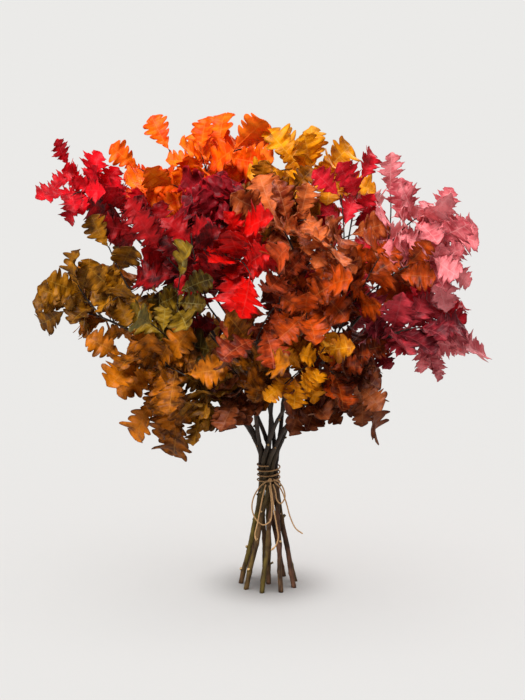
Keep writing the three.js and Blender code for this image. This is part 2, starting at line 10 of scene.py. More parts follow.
import json
import logging
import math
from dataclasses import dataclass, field
from enum import Enum

import bmesh
import bpy
import numpy as np
from mathutils import Matrix, Vector, kdtree
from mathutils.bvhtree import BVHTree

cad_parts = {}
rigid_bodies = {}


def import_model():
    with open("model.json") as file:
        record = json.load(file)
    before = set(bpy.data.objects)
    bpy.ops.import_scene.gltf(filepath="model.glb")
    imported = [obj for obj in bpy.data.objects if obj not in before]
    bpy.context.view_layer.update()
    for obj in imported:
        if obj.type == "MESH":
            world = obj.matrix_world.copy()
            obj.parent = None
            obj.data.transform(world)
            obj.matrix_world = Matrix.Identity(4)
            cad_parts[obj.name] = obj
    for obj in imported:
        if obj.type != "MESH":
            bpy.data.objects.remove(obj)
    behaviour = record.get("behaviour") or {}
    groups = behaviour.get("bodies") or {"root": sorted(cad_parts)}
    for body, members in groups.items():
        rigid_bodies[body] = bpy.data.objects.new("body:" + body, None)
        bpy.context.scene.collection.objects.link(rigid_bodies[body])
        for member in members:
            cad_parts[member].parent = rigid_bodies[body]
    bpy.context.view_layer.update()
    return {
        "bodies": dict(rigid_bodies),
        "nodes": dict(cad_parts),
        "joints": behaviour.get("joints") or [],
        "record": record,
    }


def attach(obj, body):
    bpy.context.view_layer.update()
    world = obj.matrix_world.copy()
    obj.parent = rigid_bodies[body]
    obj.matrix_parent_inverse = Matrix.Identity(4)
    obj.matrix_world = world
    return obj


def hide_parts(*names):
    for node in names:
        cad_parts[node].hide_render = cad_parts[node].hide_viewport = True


LOG = logging.getLogger("autumn_bouquet")
MM = 0.001
Array = np.ndarray
Triple = tuple[float, float, float]

# The bunch's driving dimensions, in millimetres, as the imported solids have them.
TIE_HEIGHT = 190.0
RING_RADIUS = 12.2
SPLAY = 0.23
RING_STEMS = 9
FIRST_LEAN = 5.0
FOOT_RADIUS = 4.1
TIE_RADIUS = 3.6
TIP_RADIUS = 1.6
STRAIGHT_ABOVE_TIE = 30.0
ARCH_RUN = 0.42
ARCH_EASE = 0.25
TAPER_BELOW = 1.4
TWIG_BASE_RADIUS = 1.7
TWIG_TIP_RADIUS = 0.9
TWIG_STEPS = 4
TWIG_INSET = 1.2
FORK_AT = 0.42
TWIG_MIDDLE = 0.45
TWIG_FOLLOW = 0.16
SHALLOWEST_FORK = 0.35
FORK_SLIMNESS = 0.8
BOWS = (0.04, 0.1, -0.03, 0.16, -0.1, 0.22, -0.16, 0.3)
GAP = 0.35
LEAVES_PER_TWIG = 4
LEAF_TRIES = 16
STALK_SET = 2.0
BACK_FROM = 75.0
GOLDEN_ANGLE = 2.39996
TIP_SPREAD = 0.35
SIDE_SPREAD = 0.95
SPREAD_SWAY = 0.35
TURN_SWAY = 0.9
FACING_OUT = 0.3
FACING_UP = 0.45
FACING_SWAY = (0.55, 0.3, 0.55)
LENGTH_SHARE = 0.92
LENGTH_SWAY = 0.22
LATE_TRIES = 0.6
LATE_LENGTH = 0.78
TWINE_RADIUS = 1.2
WRAP_TURNS = 3.75
WRAP_HEIGHT = 32.0
WRAP_STEPS_PER_TURN = 12


# ---- small helpers -----------------------------------------------------------------------------------------
def chance(first: float, second: float) -> float:
    """Returns a repeatable number from 0 to 1 for a pair of counters."""
    wave = math.sin(first * 12.9898 + second * 78.233) * 43758.5453
    return wave - math.floor(wave)


def sway(first: float, second: float) -> float:
    """Returns a repeatable number from -1 to 1 for a pair of counters."""
    return 2.0 * chance(first, second) - 1.0


def mix(low: float, high: float, share: float) -> float:
    """Returns the value a share of the way from low to high."""
    return low + (high - low) * share


def unit(vector: Array) -> Array:
    """Returns the vector scaled to unit length."""
    return vector / np.linalg.norm(vector)


def linear(hex_colour: str) -> tuple[float, float, float, float]:
    """Turns an sRGB hex colour into linear RGBA."""
    channels = []
    for start in (1, 3, 5):
        value = int(hex_colour[start : start + 2], 16) / 255.0
        channels.append(value / 12.92 if value <= 0.04045 else ((value + 0.055) / 1.055) ** 2.4)
    return (*channels, 1.0)


def add_node(tree: bpy.types.NodeTree, kind: str, inputs: dict | None = None, **settings) -> bpy.types.Node:
    """Adds a node to a tree.

    Args:
        tree: The shader or geometry node tree.
        kind: The node's type name.
        inputs: Values or output sockets for the node's inputs, by socket name or number.
        settings: Properties of the node itself.

    Returns:
        The new node.
    """
    node = tree.nodes.new(kind)
    for name, value in settings.items():
        setattr(node, name, value)
    for key, value in (inputs or {}).items():
        if isinstance(value, bpy.types.NodeSocket):
            tree.links.new(value, node.inputs[key])
        else:
            node.inputs[key].default_value = value
    return node


def new_object(name: str, data: bpy.types.ID) -> bpy.types.Object:
    """Makes an object at the origin and links it to the scene."""
    thing = bpy.data.objects.new(name, data)
    bpy.context.scene.collection.objects.link(thing)
    return thing


def mesh_object(
    name: str, vertices: Array, faces: list, materials: list[bpy.types.Material]
) -> bpy.types.Object:
    """Makes a smooth-shaded mesh object at the origin.

    Args:
        name: The object's name.
        vertices: Its vertices in metres.
        faces: Lists of vertex numbers.
        materials: Its materials, in order.

    Returns:
        The new object.
    """
    mesh = bpy.data.meshes.new(name)
    mesh.from_pydata(vertices.tolist(), [], faces)
    for material in materials:
        mesh.materials.append(material)
    mesh.polygons.foreach_set("use_smooth", [True] * len(mesh.polygons))
    mesh.update()
    return new_object(name, mesh)


def wire_object(
    name: str, points: list, edges: list[tuple[int, int]], layers: dict[str, tuple[str, list]]
) -> bpy.types.Object:
    """Makes an object of bare points and edges in metres.

    Args:
        name: The object's name.
        points: The points.
        edges: Pairs of point numbers.
        layers: The type and the values of each attribute on the points, by its name.

    Returns:
        The new object.
    """
    mesh = bpy.data.meshes.new(name)
    mesh.from_pydata(points, edges, [])
    for layer, (kind, values) in layers.items():
        mesh.attributes.new(layer, kind, "POINT").data.foreach_set("value", values)
    return new_object(name, mesh)


def new_tree(name: str, inputs: dict[str, str]) -> tuple[bpy.types.NodeTree, bpy.types.NodeOutputs]:
    """Starts a geometry node tree.

    Args:
        name: The tree's name.
        inputs: The kind of each input besides the geometry, by its name.

    Returns:
        The tree and the sockets of its inputs.
    """
    tree = bpy.data.node_groups.new(name, "GeometryNodeTree")
    for socket, kind in {"Geometry": "Geometry", **inputs}.items():
        tree.interface.new_socket(socket, in_out="INPUT", socket_type=f"NodeSocket{kind}")
    tree.interface.new_socket("Geometry", in_out="OUTPUT", socket_type="NodeSocketGeometry")
    return tree, add_node(tree, "NodeGroupInput").outputs


def end_tree(
    tree: bpy.types.NodeTree, parts: list[bpy.types.NodeSocket], finish: bpy.types.NodeSocket
) -> None:
    """Joins a tree's parts, makes their instances real and gives them one material.

    Args:
        tree: The geometry node tree.
        parts: The sockets that the parts come out of.
        finish: The socket that the material comes out of.
    """
    joined = add_node(tree, "GeometryNodeJoinGeometry")
    for part in parts:
        tree.links.new(part, joined.inputs[0])
    whole = add_node(tree, "GeometryNodeRealizeInstances", {"Geometry": joined.outputs[0]}).outputs[0]
    whole = add_node(tree, "GeometryNodeSetMaterial", {"Geometry": whole, "Material": finish}).outputs[0]
    tree.links.new(whole, add_node(tree, "NodeGroupOutput").inputs[0])


def grown_object(
    holder: bpy.types.Object, tree: bpy.types.NodeTree, values: dict[str, object], name: str
) -> bpy.types.Object:
    """Runs a geometry node tree on an object and makes the result a plain mesh object.

    Args:
        holder: The bare points or lines that the tree starts from. They are used up.
        tree: The tree.
        values: The values of its inputs, by their names.
        name: The new object's name.

    Returns:
        The plain mesh object.
    """
    modifier = holder.modifiers.new(tree.name, "NODES")
    modifier.node_group = tree
    for item in tree.interface.items_tree:
        if item.item_type == "SOCKET" and item.in_out == "INPUT" and item.name in values:
            modifier[item.identifier] = values[item.name]
    graph = bpy.context.evaluated_depsgraph_get()
    mesh = bpy.data.meshes.new_from_object(
        holder.evaluated_get(graph), preserve_all_data_layers=True, depsgraph=graph
    )
    mesh.name = name
    bpy.data.objects.remove(holder)
    return new_object(name, mesh)


def new_material(name: str) -> tuple[bpy.types.Material, bpy.types.NodeTree, bpy.types.Node]:
    """Starts a material and returns it with its tree and its shader."""
    material = bpy.data.materials.new(name)
    material.use_nodes = True
    return material, material.node_tree, material.node_tree.nodes["Principled BSDF"]


def run_along(points: Array) -> Array:
    """Returns how far along a line each of its points is."""
    return np.concatenate([[0.0], np.cumsum(np.linalg.norm(np.diff(points, axis=0), axis=1))])


# ---- growth: stems, twigs and leaf places ------------------------------------------------------------------
@dataclass(frozen=True)
class Arch:
    """A quadratic arch through space, in millimetres."""

    start: Array
    middle: Array
    end: Array

    def point(self, t: float) -> Array:
        """Returns the point a share t of the way along."""
        return self.start * (1 - t) ** 2 + self.middle * 2 * t * (1 - t) + self.end * t * t

    def direction(self, t: float) -> Array:
        """Returns the unit direction a share t of the way along."""
        return unit((self.middle - self.start) * (1 - t) + (self.end - self.middle) * t)


@dataclass(frozen=True)
class StemPlan:
    """One branch of the bunch: its name, where its arch ends, and its lean above the tie in degrees."""

    name: str
    arch_end: Triple
    lean: float | None = None

    def line(self, height: float) -> Array:
        """Returns the point at a height on the straight line that the stem follows through the tie."""
        if self.lean is None:
            return np.array([0.0, 0.0, height])
        angle = math.radians(self.lean) - math.atan2(SPLAY * TIE_HEIGHT, RING_RADIUS)
        run = SPLAY * (height - TIE_HEIGHT)
        x = RING_RADIUS * math.cos(angle) - run * math.sin(angle)
        y = RING_RADIUS * math.sin(angle) + run * math.cos(angle)
        return np.array([x, y, height])

    def arch(self) -> Arch:
        """Returns the arch that carries on from the straight part to the crown."""
        start = self.line(TIE_HEIGHT + STRAIGHT_ABOVE_TIE)
        end = np.array(self.arch_end, dtype=float)
        run = float(np.linalg.norm(end - start)) * ARCH_RUN
        middle = start + unit(self.line(1.0) - self.line(0.0)) * run
        middle = middle + ((start + end) * 0.5 - middle) * ARCH_EASE
        return Arch(start, middle, end)


@dataclass(frozen=True)
class SprayPlan:
    """One forked side twig: the stem it grows on, how far up, its tint, leaf size and twig tips."""

    stem: str
    at: float
    tint: str
    size: float
    tips: tuple[Triple, ...]


@dataclass(frozen=True)
class LeafPlace:
    """Where a leaf sits: the foot of its stalk and the three unit directions of its flat frame."""

    base: Array
    side: Array
    direction: Array
    normal: Array
    length: float
    seed: int

    def corner(self, across: float, along: float) -> Array:
        """Returns a point of the flat leaf, given in shares of its length."""
        return self.base + (self.side * across + self.direction * along) * self.length


def arch_radius(t: float) -> float:
    """Returns a stem's radius at a place on its arch."""
    return mix(TIE_RADIUS, TIP_RADIUS, t)


def twig_arch(parent: Arch, at: float, tip: Triple, parent_radius: float, bow: float) -> Arch:
    """Returns the arch of a twig, which leaves its parent the way that the parent runs.

    Args:
        parent: The arch that the twig grows from.
        at: How far along it the twig leaves.
        tip: The twig's tip.
        parent_radius: The parent's radius there, or 0 for a fork in a twig.
        bow: How far the twig bows upwards, as a share of its reach.

    Returns:
        The arch, which starts clear of the parent's own surface.
    """
    root = parent.point(at)
    along = parent.direction(at)
    end = np.array(tip, dtype=float)
    reach = float(np.linalg.norm(end - root))
    middle = root + (end - root) * TWIG_MIDDLE + along * (TWIG_FOLLOW * reach)
    middle[2] += bow * reach
    direction = unit(middle - root)
    sine = max(SHALLOWEST_FORK, float(np.linalg.norm(np.cross(direction, along))))
    inset = (parent_radius + TWIG_BASE_RADIUS + TWIG_INSET) / sine
    if at == 1:
        inset = (parent_radius + TWIG_BASE_RADIUS) * sine + GAP
    if parent_radius == 0:
        inset = 0.0
    return Arch(root + direction * inset, middle, end)


def place_leaf(arch: Arch, size: float, seed: int, order: int, attempt: int, t: float) -> LeafPlace:
    """Returns the place of one leaf on a twig.

    Args:
        arch: The twig's arch.
        size: The spray's leaf length in millimetres.
        seed: A number of the leaf's own.
        order: The leaf's place in the twig's row of leaves, from the tip.
        attempt: Which of the leaf's tries at a place this is.
        t: How far along the twig the leaf grows.

    Returns:
        The leaf's place.
    """
    along = arch.direction(t)
    base = arch.point(t)
    if order == 0:
        base = base - along * STALK_SET
    across = unit(np.cross([0.0, 0.0, 1.0], along))
    upward = np.cross(along, across)
    turn = order * GOLDEN_ANGLE + seed + TURN_SWAY * attempt * sway(seed, attempt + 1)
    spread = TIP_SPREAD if t > 0.99 else SIDE_SPREAD
    spread += SPREAD_SWAY * sway(seed + 3, order + attempt)
    direction = along * math.cos(spread)
    direction = direction + (across * math.cos(turn) + upward * math.sin(turn)) * math.sin(spread)
    direction = unit(direction)
    facing = np.array([
        FACING_OUT * np.sign(base[0]) + FACING_SWAY[0] * sway(seed + 5, attempt),
        (1.0 if base[1] > BACK_FROM else -1.0) + FACING_SWAY[1] * sway(seed + 7, attempt),
        FACING_UP + FACING_SWAY[2] * sway(seed + 9, attempt),
    ])
    normal = unit(facing - direction * float(facing @ direction))
    shrink = LATE_LENGTH if attempt > LATE_TRIES * LEAF_TRIES else 1.0
    length = size * (LENGTH_SHARE + LENGTH_SWAY * sway(seed + 11, order)) * shrink
    return LeafPlace(base, np.cross(direction, normal), direction, normal, length, seed)


RING = (
    ("pink", (250, -10, 560)),
    ("yellow", (70, 60, 640)),
    ("orange", (-90, 70, 640)),
    ("red", (-235, 50, 590)),
    ("olive", (-265, -10, 450)),
    ("ochre", (-150, -60, 400)),
    ("crimson", (-80, -70, 570)),
    ("brown", (85, -85, 400)),
    ("wine", (215, -50, 440)),
)

SPRAYS = (
    SprayPlan("red", 1, "red", 52, ((-318, 40, 685), (-308, -15, 645))),
    SprayPlan("red", 0.8, "red", 58, ((-272, 20, 650), (-250, 60, 600))),
    SprayPlan("orange", 0.7, "orange", 68, ((-158, 60, 706), (-205, 40, 680))),
    SprayPlan("orange", 1, "orange", 70, ((-108, 60, 702), (-45, 80, 706))),
    SprayPlan("orange", 0.84, "orange", 62, ((-150, 0, 660), (-120, 140, 680))),
    SprayPlan("crimson", 1, "burgundy", 58, ((-90, -60, 650), (-80, 0, 640))),
    SprayPlan("crimson", 0.62, "crimson", 62, ((-180, -50, 590), (-225, 0, 600))),
    SprayPlan("crimson", 0.5, "crimson", 62, ((-165, -100, 572), (-118, -125, 602))),
    SprayPlan("crimson", 0.84, "scarlet", 68, ((-40, -120, 602), (-28, -160, 548))),
    SprayPlan("olive", 0.7, "olive", 58, ((-250, -30, 565), (-240, -95, 495))),
    SprayPlan("olive", 1, "olive", 56, ((-300, -30, 505), (-325, 20, 455))),
    SprayPlan("olive", 0.42, "khaki", 62, ((-180, -130, 465), (-135, -130, 540))),
    SprayPlan("olive", 0.84, "ochre", 60, ((-290, 60, 440), (-260, 120, 490))),
    SprayPlan("ochre", 0.8, "ochre", 64, ((-228, -90, 405), (-130, -130, 385))),
    SprayPlan("ochre", 1, "ochre", 66, ((-180, -55, 330), (-140, -30, 296))),
    SprayPlan("ochre", 0.6, "olive", 60, ((-105, -85, 312), (-85, -100, 365))),
    SprayPlan("yellow", 1, "yellow", 64, ((65, 90, 690), (20, 50, 676), (104, 60, 662))),
    SprayPlan("yellow", 0.66, "ochre", 56, ((-10, 10, 650), (40, 0, 650))),
    SprayPlan("terracotta", 1, "terracotta", 60, ((0, -70, 625), (55, -95, 620))),
    SprayPlan("terracotta", 0.55, "coral", 60, ((15, -150, 560), (-20, -180, 450))),
    SprayPlan("terracotta", 0.7, "rust", 62, ((90, -145, 520), (55, -180, 480))),
    SprayPlan("terracotta", 0.85, "terracotta", 60, ((125, -60, 590), (100, -120, 580))),
    SprayPlan("pink", 0.5, "raspberry", 62, ((112, -20, 645), (145, 30, 662))),
    SprayPlan("pink", 0.75, "pink", 60, ((190, -20, 645), (235, -60, 620))),
    SprayPlan("pink", 1, "pink", 58, ((262, -20, 606), (270, 40, 570))),
    SprayPlan("pink", 0.86, "pink", 60, ((252, -85, 562), (278, -30, 538))),
    SprayPlan("pink", 0.4, "rust", 64, ((165, -130, 565), (212, -105, 550))),
    SprayPlan("wine", 0.8, "wine", 66, ((190, -115, 455), (240, -85, 450))),
    SprayPlan("wine", 0.9, "raspberry", 56, ((266, -40, 478), (250, 20, 500))),
    SprayPlan("wine", 1, "pink", 58, ((255, -60, 410), (284, -20, 405))),
    SprayPlan("brown", 1, "brown", 62, ((140, -125, 362), (150, -90, 332))),
    SprayPlan("brown", 0.6, "brown", 60, ((74, -105, 330), (45, -130, 352))),
    SprayPlan("brown", 0.84, "rust", 62, ((100, -145, 390), (130, -90, 410))),
    SprayPlan("brown", 0.74, "yellow", 50, ((84, -180, 440), (25, -165, 380))),
    SprayPlan("crimson", 0.3, "ochre", 58, ((0, -170, 400), (-35, -160, 445))),
    SprayPlan("crimson", 0.2, "brown", 54, ((-62, -140, 402), (-48, -105, 345))),
    SprayPlan("orange", 0.5, "red", 64, ((-150, 170, 590), (-90, 200, 520))),
    SprayPlan("red", 0.45, "olive", 64, ((-185, 175, 450), (-115, 165, 370))),
    SprayPlan("yellow", 0.5, "rust", 64, ((60, 175, 590), (0, 200, 520))),
    SprayPlan("pink", 0.62, "pink", 62, ((170, 140, 600), (225, 120, 540))),
    SprayPlan("wine", 0.5, "wine", 62, ((190, 130, 440), (125, 165, 375))),
    SprayPlan("yellow", 0.28, "brown", 62, ((60, 180, 440), (0, 165, 350))),
    SprayPlan("orange", 0.72, "rust", 62, ((-55, 110, 650), (0, 140, 640))),
)


@dataclass
class GrownTwig:
    """A twig with its leaves. root is where it leaves its parent's centre line."""

    arch: Arch
    root: Array
    base_radius: float
    leaves: list[LeafPlace] = field(default_factory=list)


@dataclass
class GrownSpray:
    """A spray of the bunch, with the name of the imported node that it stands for."""

    plan: SprayPlan
    node: str
    twigs: list[GrownTwig] = field(default_factory=list)


class PackedSolid:
    """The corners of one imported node, which tell where its twigs and leaves were grown."""

    NEAR = 0.05
    RIM = ((0.23, 0.4), (0.12, 0.56), (0.3, 0.72))

    def __init__(self, node: bpy.types.Object) -> None:
        """Indexes the node's vertices, in millimetres."""
        vertices = node.data.vertices
        self.tree = kdtree.KDTree(len(vertices))
        for number, vertex in enumerate(vertices):
            self.tree.insert(vertex.co / MM, number)
        self.tree.balance()

    def distance(self, point: Array) -> float:
        """Returns how far the nearest corner is from a point."""
        return self.tree.find(Vector(point))[2]

    def twig_error(self, arch: Arch, base_radius: float) -> float:
        """Returns how badly a twig's stations fit the rings of corners round them."""
        error = 0.0
        for step in range(1, TWIG_STEPS):
            radius = mix(base_radius, TWIG_TIP_RADIUS, step / TWIG_STEPS)
            error += abs(self.distance(arch.point(step / TWIG_STEPS)) - radius)
        return error

    def leaf_hits(self, place: LeafPlace) -> int:
        """Returns how many corners of a flat leaf's rim the node has."""
        corners = [(0.0, 1.0)]
        for across, along in self.RIM:
            corners += [(across, along), (-across, along)]
        return sum(self.distance(place.corner(*corner)) < self.NEAR for corner in corners)


class Growth:
    """Grows the bunch: every stem, twig and leaf place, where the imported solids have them."""

    ENOUGH_CORNERS = 3

    def __init__(self, nodes: dict[str, bpy.types.Object]) -> None:
        """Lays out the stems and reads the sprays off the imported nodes.

        Args:
            nodes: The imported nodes' objects, by name.
        """
        self.nodes = nodes
        self.stems: dict[str, StemPlan] = {}
        for order, (name, end) in enumerate(RING):
            self.stems[name] = StemPlan(name, end, FIRST_LEAN + 360.0 / RING_STEMS * order)
        self.stems["terracotta"] = StemPlan("terracotta", (40, -50, 560))
        self.sprays: list[GrownSpray] = []
        tally: dict[str, int] = {}
        for owner, plan in enumerate(SPRAYS):
            tally[plan.tint] = tally.get(plan.tint, 0) + 1
            spray = GrownSpray(plan, f"spray_{plan.tint}_{tally[plan.tint]}")
            self._grow(spray, owner)
            self.sprays.append(spray)

    def _grow(self, spray: GrownSpray, owner: int) -> None:
        """Finds the spray's twigs and leaves.

        Args:
            spray: The spray to fill in.
            owner: Its place in the list of sprays, which its leaves' seeds come from.
        """
        solid = PackedSolid(self.nodes[spray.node])
        stem = self.stems[spray.plan.stem].arch()
        for order, tip in enumerate(spray.plan.tips):
            parent = stem if order == 0 else spray.twigs[0].arch
            at = spray.plan.at if order == 0 else FORK_AT
            parent_radius = arch_radius(at) if order == 0 else 0.0
            base_radius = TWIG_BASE_RADIUS * (1.0 if order == 0 else FORK_SLIMNESS)
            arches = [twig_arch(parent, at, tip, parent_radius, bow) for bow in BOWS]
            arches.sort(key=lambda choice: solid.twig_error(choice, base_radius))
            twig = GrownTwig(arches[0], parent.point(at), base_radius)
            for arch in arches:
                leaves = self._leaves(solid, arch, spray.plan.size, 17 * owner + 5 * order + 1)
                if leaves:
                    twig = GrownTwig(arch, parent.point(at), base_radius, leaves)
                    break
            spray.twigs.append(twig)

    def _leaves(self, solid: PackedSolid, arch: Arch, size: float, first_seed: int) -> list[LeafPlace]:
        """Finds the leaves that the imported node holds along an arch.

        Args:
            solid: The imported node's corners.
            arch: The arch to look along.
            size: The spray's leaf length in millimetres.
            first_seed: The seed of the leaf at the tip.

        Returns:
            The leaves, or none if the arch isn't the twig's own.
        """
        leaves = []
        for order in range(LEAVES_PER_TWIG):
            t = 1 - order / TWIG_STEPS
            places = [
                place_leaf(arch, size, first_seed + order, order, attempt, t) for attempt in range(LEAF_TRIES)
            ]
            hits = [solid.leaf_hits(place) for place in places]
            if max(hits) >= self.ENOUGH_CORNERS:
                leaves.append(places[hits.index(max(hits))])
        return leaves

    def leaf_count(self) -> int:
        """Returns the number of leaves on the bunch."""
        return sum(len(twig.leaves) for spray in self.sprays for twig in spray.twigs)


# ---- leaf shapes -------------------------------------------------------------------------------------------
class Margin(Enum):
    """How the lobes of an oak leaf end."""

    ROUNDED = "rounded"
    POINTED = "pointed"


@dataclass(frozen=True)
class LeafForm:
    """The outline of an oak leaf, in shares of its length."""

    margin: Margin
    lobes: int
    widest: float
    half_width: float
    bay_depth: float
    sweep: float
    stalk: float

    def lobe(self, phase: Array) -> Array:
        """Returns 1 at the end of a lobe and 0 at the bottom of a bay, for places in the row of lobes."""
        if self.margin is Margin.ROUNDED:
            return np.abs(np.sin(np.pi * phase)) ** 0.5
        tooth = 1.0 - np.abs(2.0 * ((3.0 * phase) % 1.0) - 1.0)
        lobe = 1.0 - np.abs(2.0 * (phase % 1.0) - 1.0)
        return 0.8 * lobe**0.75 + 0.2 * tooth

    def bays(self, along: Array) -> Array:
        """Returns how deep the bays are cut, which run out at the foot and the tip."""
        return self.bay_depth * np.clip(1.1 * np.sqrt(np.sin(np.pi * along)), 0.0, 1.0)

    def envelope(self, along: Array) -> Array:
        """Returns the half width of the blade before its bays are cut."""
        power = math.log(0.5) / math.log(self.widest)
        return self.half_width * np.sin(np.pi * np.clip(along, 0.004, 0.994) ** power) ** 0.8


FORMS = {
    Margin.ROUNDED: LeafForm(Margin.ROUNDED, 6, 0.62, 0.34, 0.5, 0.2, 0.08),
    Margin.POINTED: LeafForm(Margin.POINTED, 5, 0.56, 0.37, 0.6, 0.36, 0.12),
}


@dataclass(frozen=True)
class LeafCurl:
    """How a leaf dried: angles in radians, and offsets in shares of its length."""

    fold: float
    arch: float
    roll: float
    twist: float
    wave: float
    lean: float

    @staticmethod
    def drawn(random: np.random.Generator, strength: float) -> LeafCurl:
        """Draws a curl, from nearly flat at strength 0 to crumpled at strength 1."""
        return LeafCurl(
            fold=random.uniform(0.05, 0.3) + 0.55 * strength * random.uniform(-0.2, 1.0),
            arch=random.uniform(0.1, 0.6) + 1.5 * strength * random.uniform(-0.3, 1.0),
            roll=(0.25 + 1.2 * strength) * random.uniform(-0.5, 1.0),
            twist=(0.3 + 1.1 * strength) * random.uniform(-1.0, 1.0),
            wave=0.04 + 0.07 * strength * random.uniform(0.4, 1.0),
            lean=0.16 * random.uniform(-1.0, 1.0),
        )


class LeafShape:
    """One curled oak leaf of unit length: a thin closed blade, and a stalk that runs on as the midrib."""

    ROWS_PER_LOBE = 6
    HALF_COLUMNS = 3
    THICKNESS = 0.006
    STALK_RADIUS = 0.012
    RIB_END_RADIUS = 0.004
    RIB_REACH = 0.7
    STALK_RINGS = 9
    STALK_SIDES = 5
    UV_LOBES = 8.0
    STALK_UV = (0.5, -0.5)
    BLADE_LENGTH = 0.94
    LEAST_ARCH = 0.05
    TWIST_FROM = 0.35
    RELIEF = 0.022
    STALK_UNDERSIDE = 0.6

    def __init__(self, name: str, form: LeafForm, curl: LeafCurl, random: np.random.Generator) -> None:
        """Draws the leaf's own irregularities and makes its object."""
        self.form = form
        self.curl = curl
        rows = form.lobes * self.ROWS_PER_LOBE + 1
        self.along = np.linspace(0.0, 1.0, rows)
        self.shifts = {-1: 0.0, 1: 1.0 / 3.0}
        self.lobe_sizes = {side: random.uniform(0.86, 1.1, form.lobes + 2) for side in (-1, 1)}
        self.bay_share = random.uniform(0.85, 1.15)
        self.wave_start = random.uniform(0.0, 2.0 * math.pi)
        self.object = self._make(name)

    def _bent(self, points: Array) -> Array:
        """Twists, arches and leans points of the flat leaf."""
        curl = self.curl
        x, y, z = points[:, 0], points[:, 1], points[:, 2]
        turn = curl.twist * (y - self.TWIST_FROM)
        x, z = x * np.cos(turn) + z * np.sin(turn), z * np.cos(turn) - x * np.sin(turn)
        bend = curl.arch if abs(curl.arch) > self.LEAST_ARCH else self.LEAST_ARCH
        start = -0.4 * bend
        angle = start + bend * y
        along = (np.sin(angle) - math.sin(start)) / bend + z * np.sin(angle)
        height = (np.cos(angle) - math.cos(start)) / bend + z * np.cos(angle)
        return np.stack([x + curl.lean * y * y, along, height], axis=1)

    def _phase(self, side: int) -> Array:
        """Returns the place of each row in one side's row of lobes."""
        return self.along * self.form.lobes + self.shifts[side]

    def _upper_face(self) -> Array:
        """Returns the grid of points on the blade's upper face, row by row."""
        form = self.form
        columns = np.arange(-self.HALF_COLUMNS, self.HALF_COLUMNS + 1) / self.HALF_COLUMNS
        rows = []
        for number, along in enumerate(self.along):
            for share in columns:
                side = 1 if share > 0 else -1
                phase = self._phase(side)[number]
                size = self.lobe_sizes[side][int(phase)]
                lobe = float(form.lobe(np.array(phase)))
                bays = self.bay_share * float(form.bays(np.array(along)))
                x = share * size * float(form.envelope(np.array(along))) * (1.0 - bays * (1.0 - lobe))
                reach = abs(x) / form.half_width
                y = form.stalk + (1.0 - form.stalk) * self.BLADE_LENGTH * along
                y += form.sweep * abs(x) * (1.0 - 0.7 * along) * mix(0.4, 1.0, lobe)
                vein = 1.0 - abs(2.0 * (phase % 1.0) - 1.0)
                z = abs(x) * math.tan(min(self.curl.fold, 1.0)) + self.curl.roll * x * x
                z += self.curl.wave * reach * math.sin(math.pi * phase + self.wave_start * side)
                z -= self.RELIEF * vein * min(1.0, 4.0 * abs(share) * (1.05 - abs(share)))
                rows.append((x, y, z))
        return self._bent(np.array(rows))

    def _stalk(self) -> tuple[Array, list]:
        """Returns the closed stalk and midrib under the blade."""
        points = []
        for ring in range(self.STALK_RINGS):
            share = ring / (self.STALK_RINGS - 1)
            y = self.RIB_REACH * share
            radius = mix(self.STALK_RADIUS, self.RIB_END_RADIUS, share)
            drop = 0.7 * radius * min(1.0, y / self.form.stalk)
            for side in range(self.STALK_SIDES):
                turn = 2.0 * math.pi * side / self.STALK_SIDES
                points.append((radius * math.cos(turn), y, radius * math.sin(turn) - drop))
        return self._bent(np.array(points)), tube_faces(self.STALK_RINGS, self.STALK_SIDES)

    def _make(self, name: str) -> bpy.types.Object:
        """Joins the blade and the stalk in one mesh, with its UV map and its underside marked.

        Args:
            name: The object's name.

        Returns:
            The leaf's object.
        """
        upper = self._upper_face()
        wide = 2 * self.HALF_COLUMNS + 1
        rows = len(self.along)
        grid = upper.reshape(rows, wide, 3)
        slope = np.cross(np.gradient(grid, axis=1), np.gradient(grid, axis=0)).reshape(-1, 3)
        slope /= np.maximum(np.linalg.norm(slope, axis=1, keepdims=True), 1e-9)
        lower = upper - slope * self.THICKNESS
        count = rows * wide
        faces, uvs = [], []
        for row in range(rows - 1):
            for column in range(wide - 1):
                side = 1 if column >= self.HALF_COLUMNS else -1
                phase = self._phase(side)
                corners = [(row, column), (row, column + 1), (row + 1, column + 1), (row + 1, column)]
                loop = [r * wide + c for r, c in corners]
                uv = [(c / (wide - 1), phase[r] / self.UV_LOBES) for r, c in corners]
                faces += [loop, [i + count for i in reversed(loop)]]
                uvs += uv + uv[::-1]
        rim = [(0, c) for c in range(wide - 1)] + [(r, wide - 1) for r in range(rows - 1)]
        rim += [(rows - 1, c) for c in range(wide - 1, 0, -1)] + [(r, 0) for r in range(rows - 1, 0, -1)]
        for here, after in zip(rim, rim[1:] + rim[:1]):
            a, b = here[0] * wide + here[1], after[0] * wide + after[1]
            faces.append([b, a, a + count, b + count])
            uvs += [
                (column / (wide - 1), self.along[row] / 2.0) for row, column in (after, here, here, after)
            ]
        stalk, stalk_faces = self._stalk()
        faces += [[i + 2 * count for i in face] for face in stalk_faces]
        uvs += [self.STALK_UV] * sum(len(face) for face in stalk_faces)
        thing = mesh_object(name, np.concatenate([upper, lower, stalk]), faces, [])
        layer = thing.data.uv_layers.new(name="leaf")
        layer.data.foreach_set("uv", np.array(uvs, dtype=float).ravel())
        mark = thing.data.attributes.new("underside", "FLOAT", "POINT")
        mark.data.foreach_set("value", [0.0] * count + [1.0] * count + [self.STALK_UNDERSIDE] * len(stalk))
        return thing


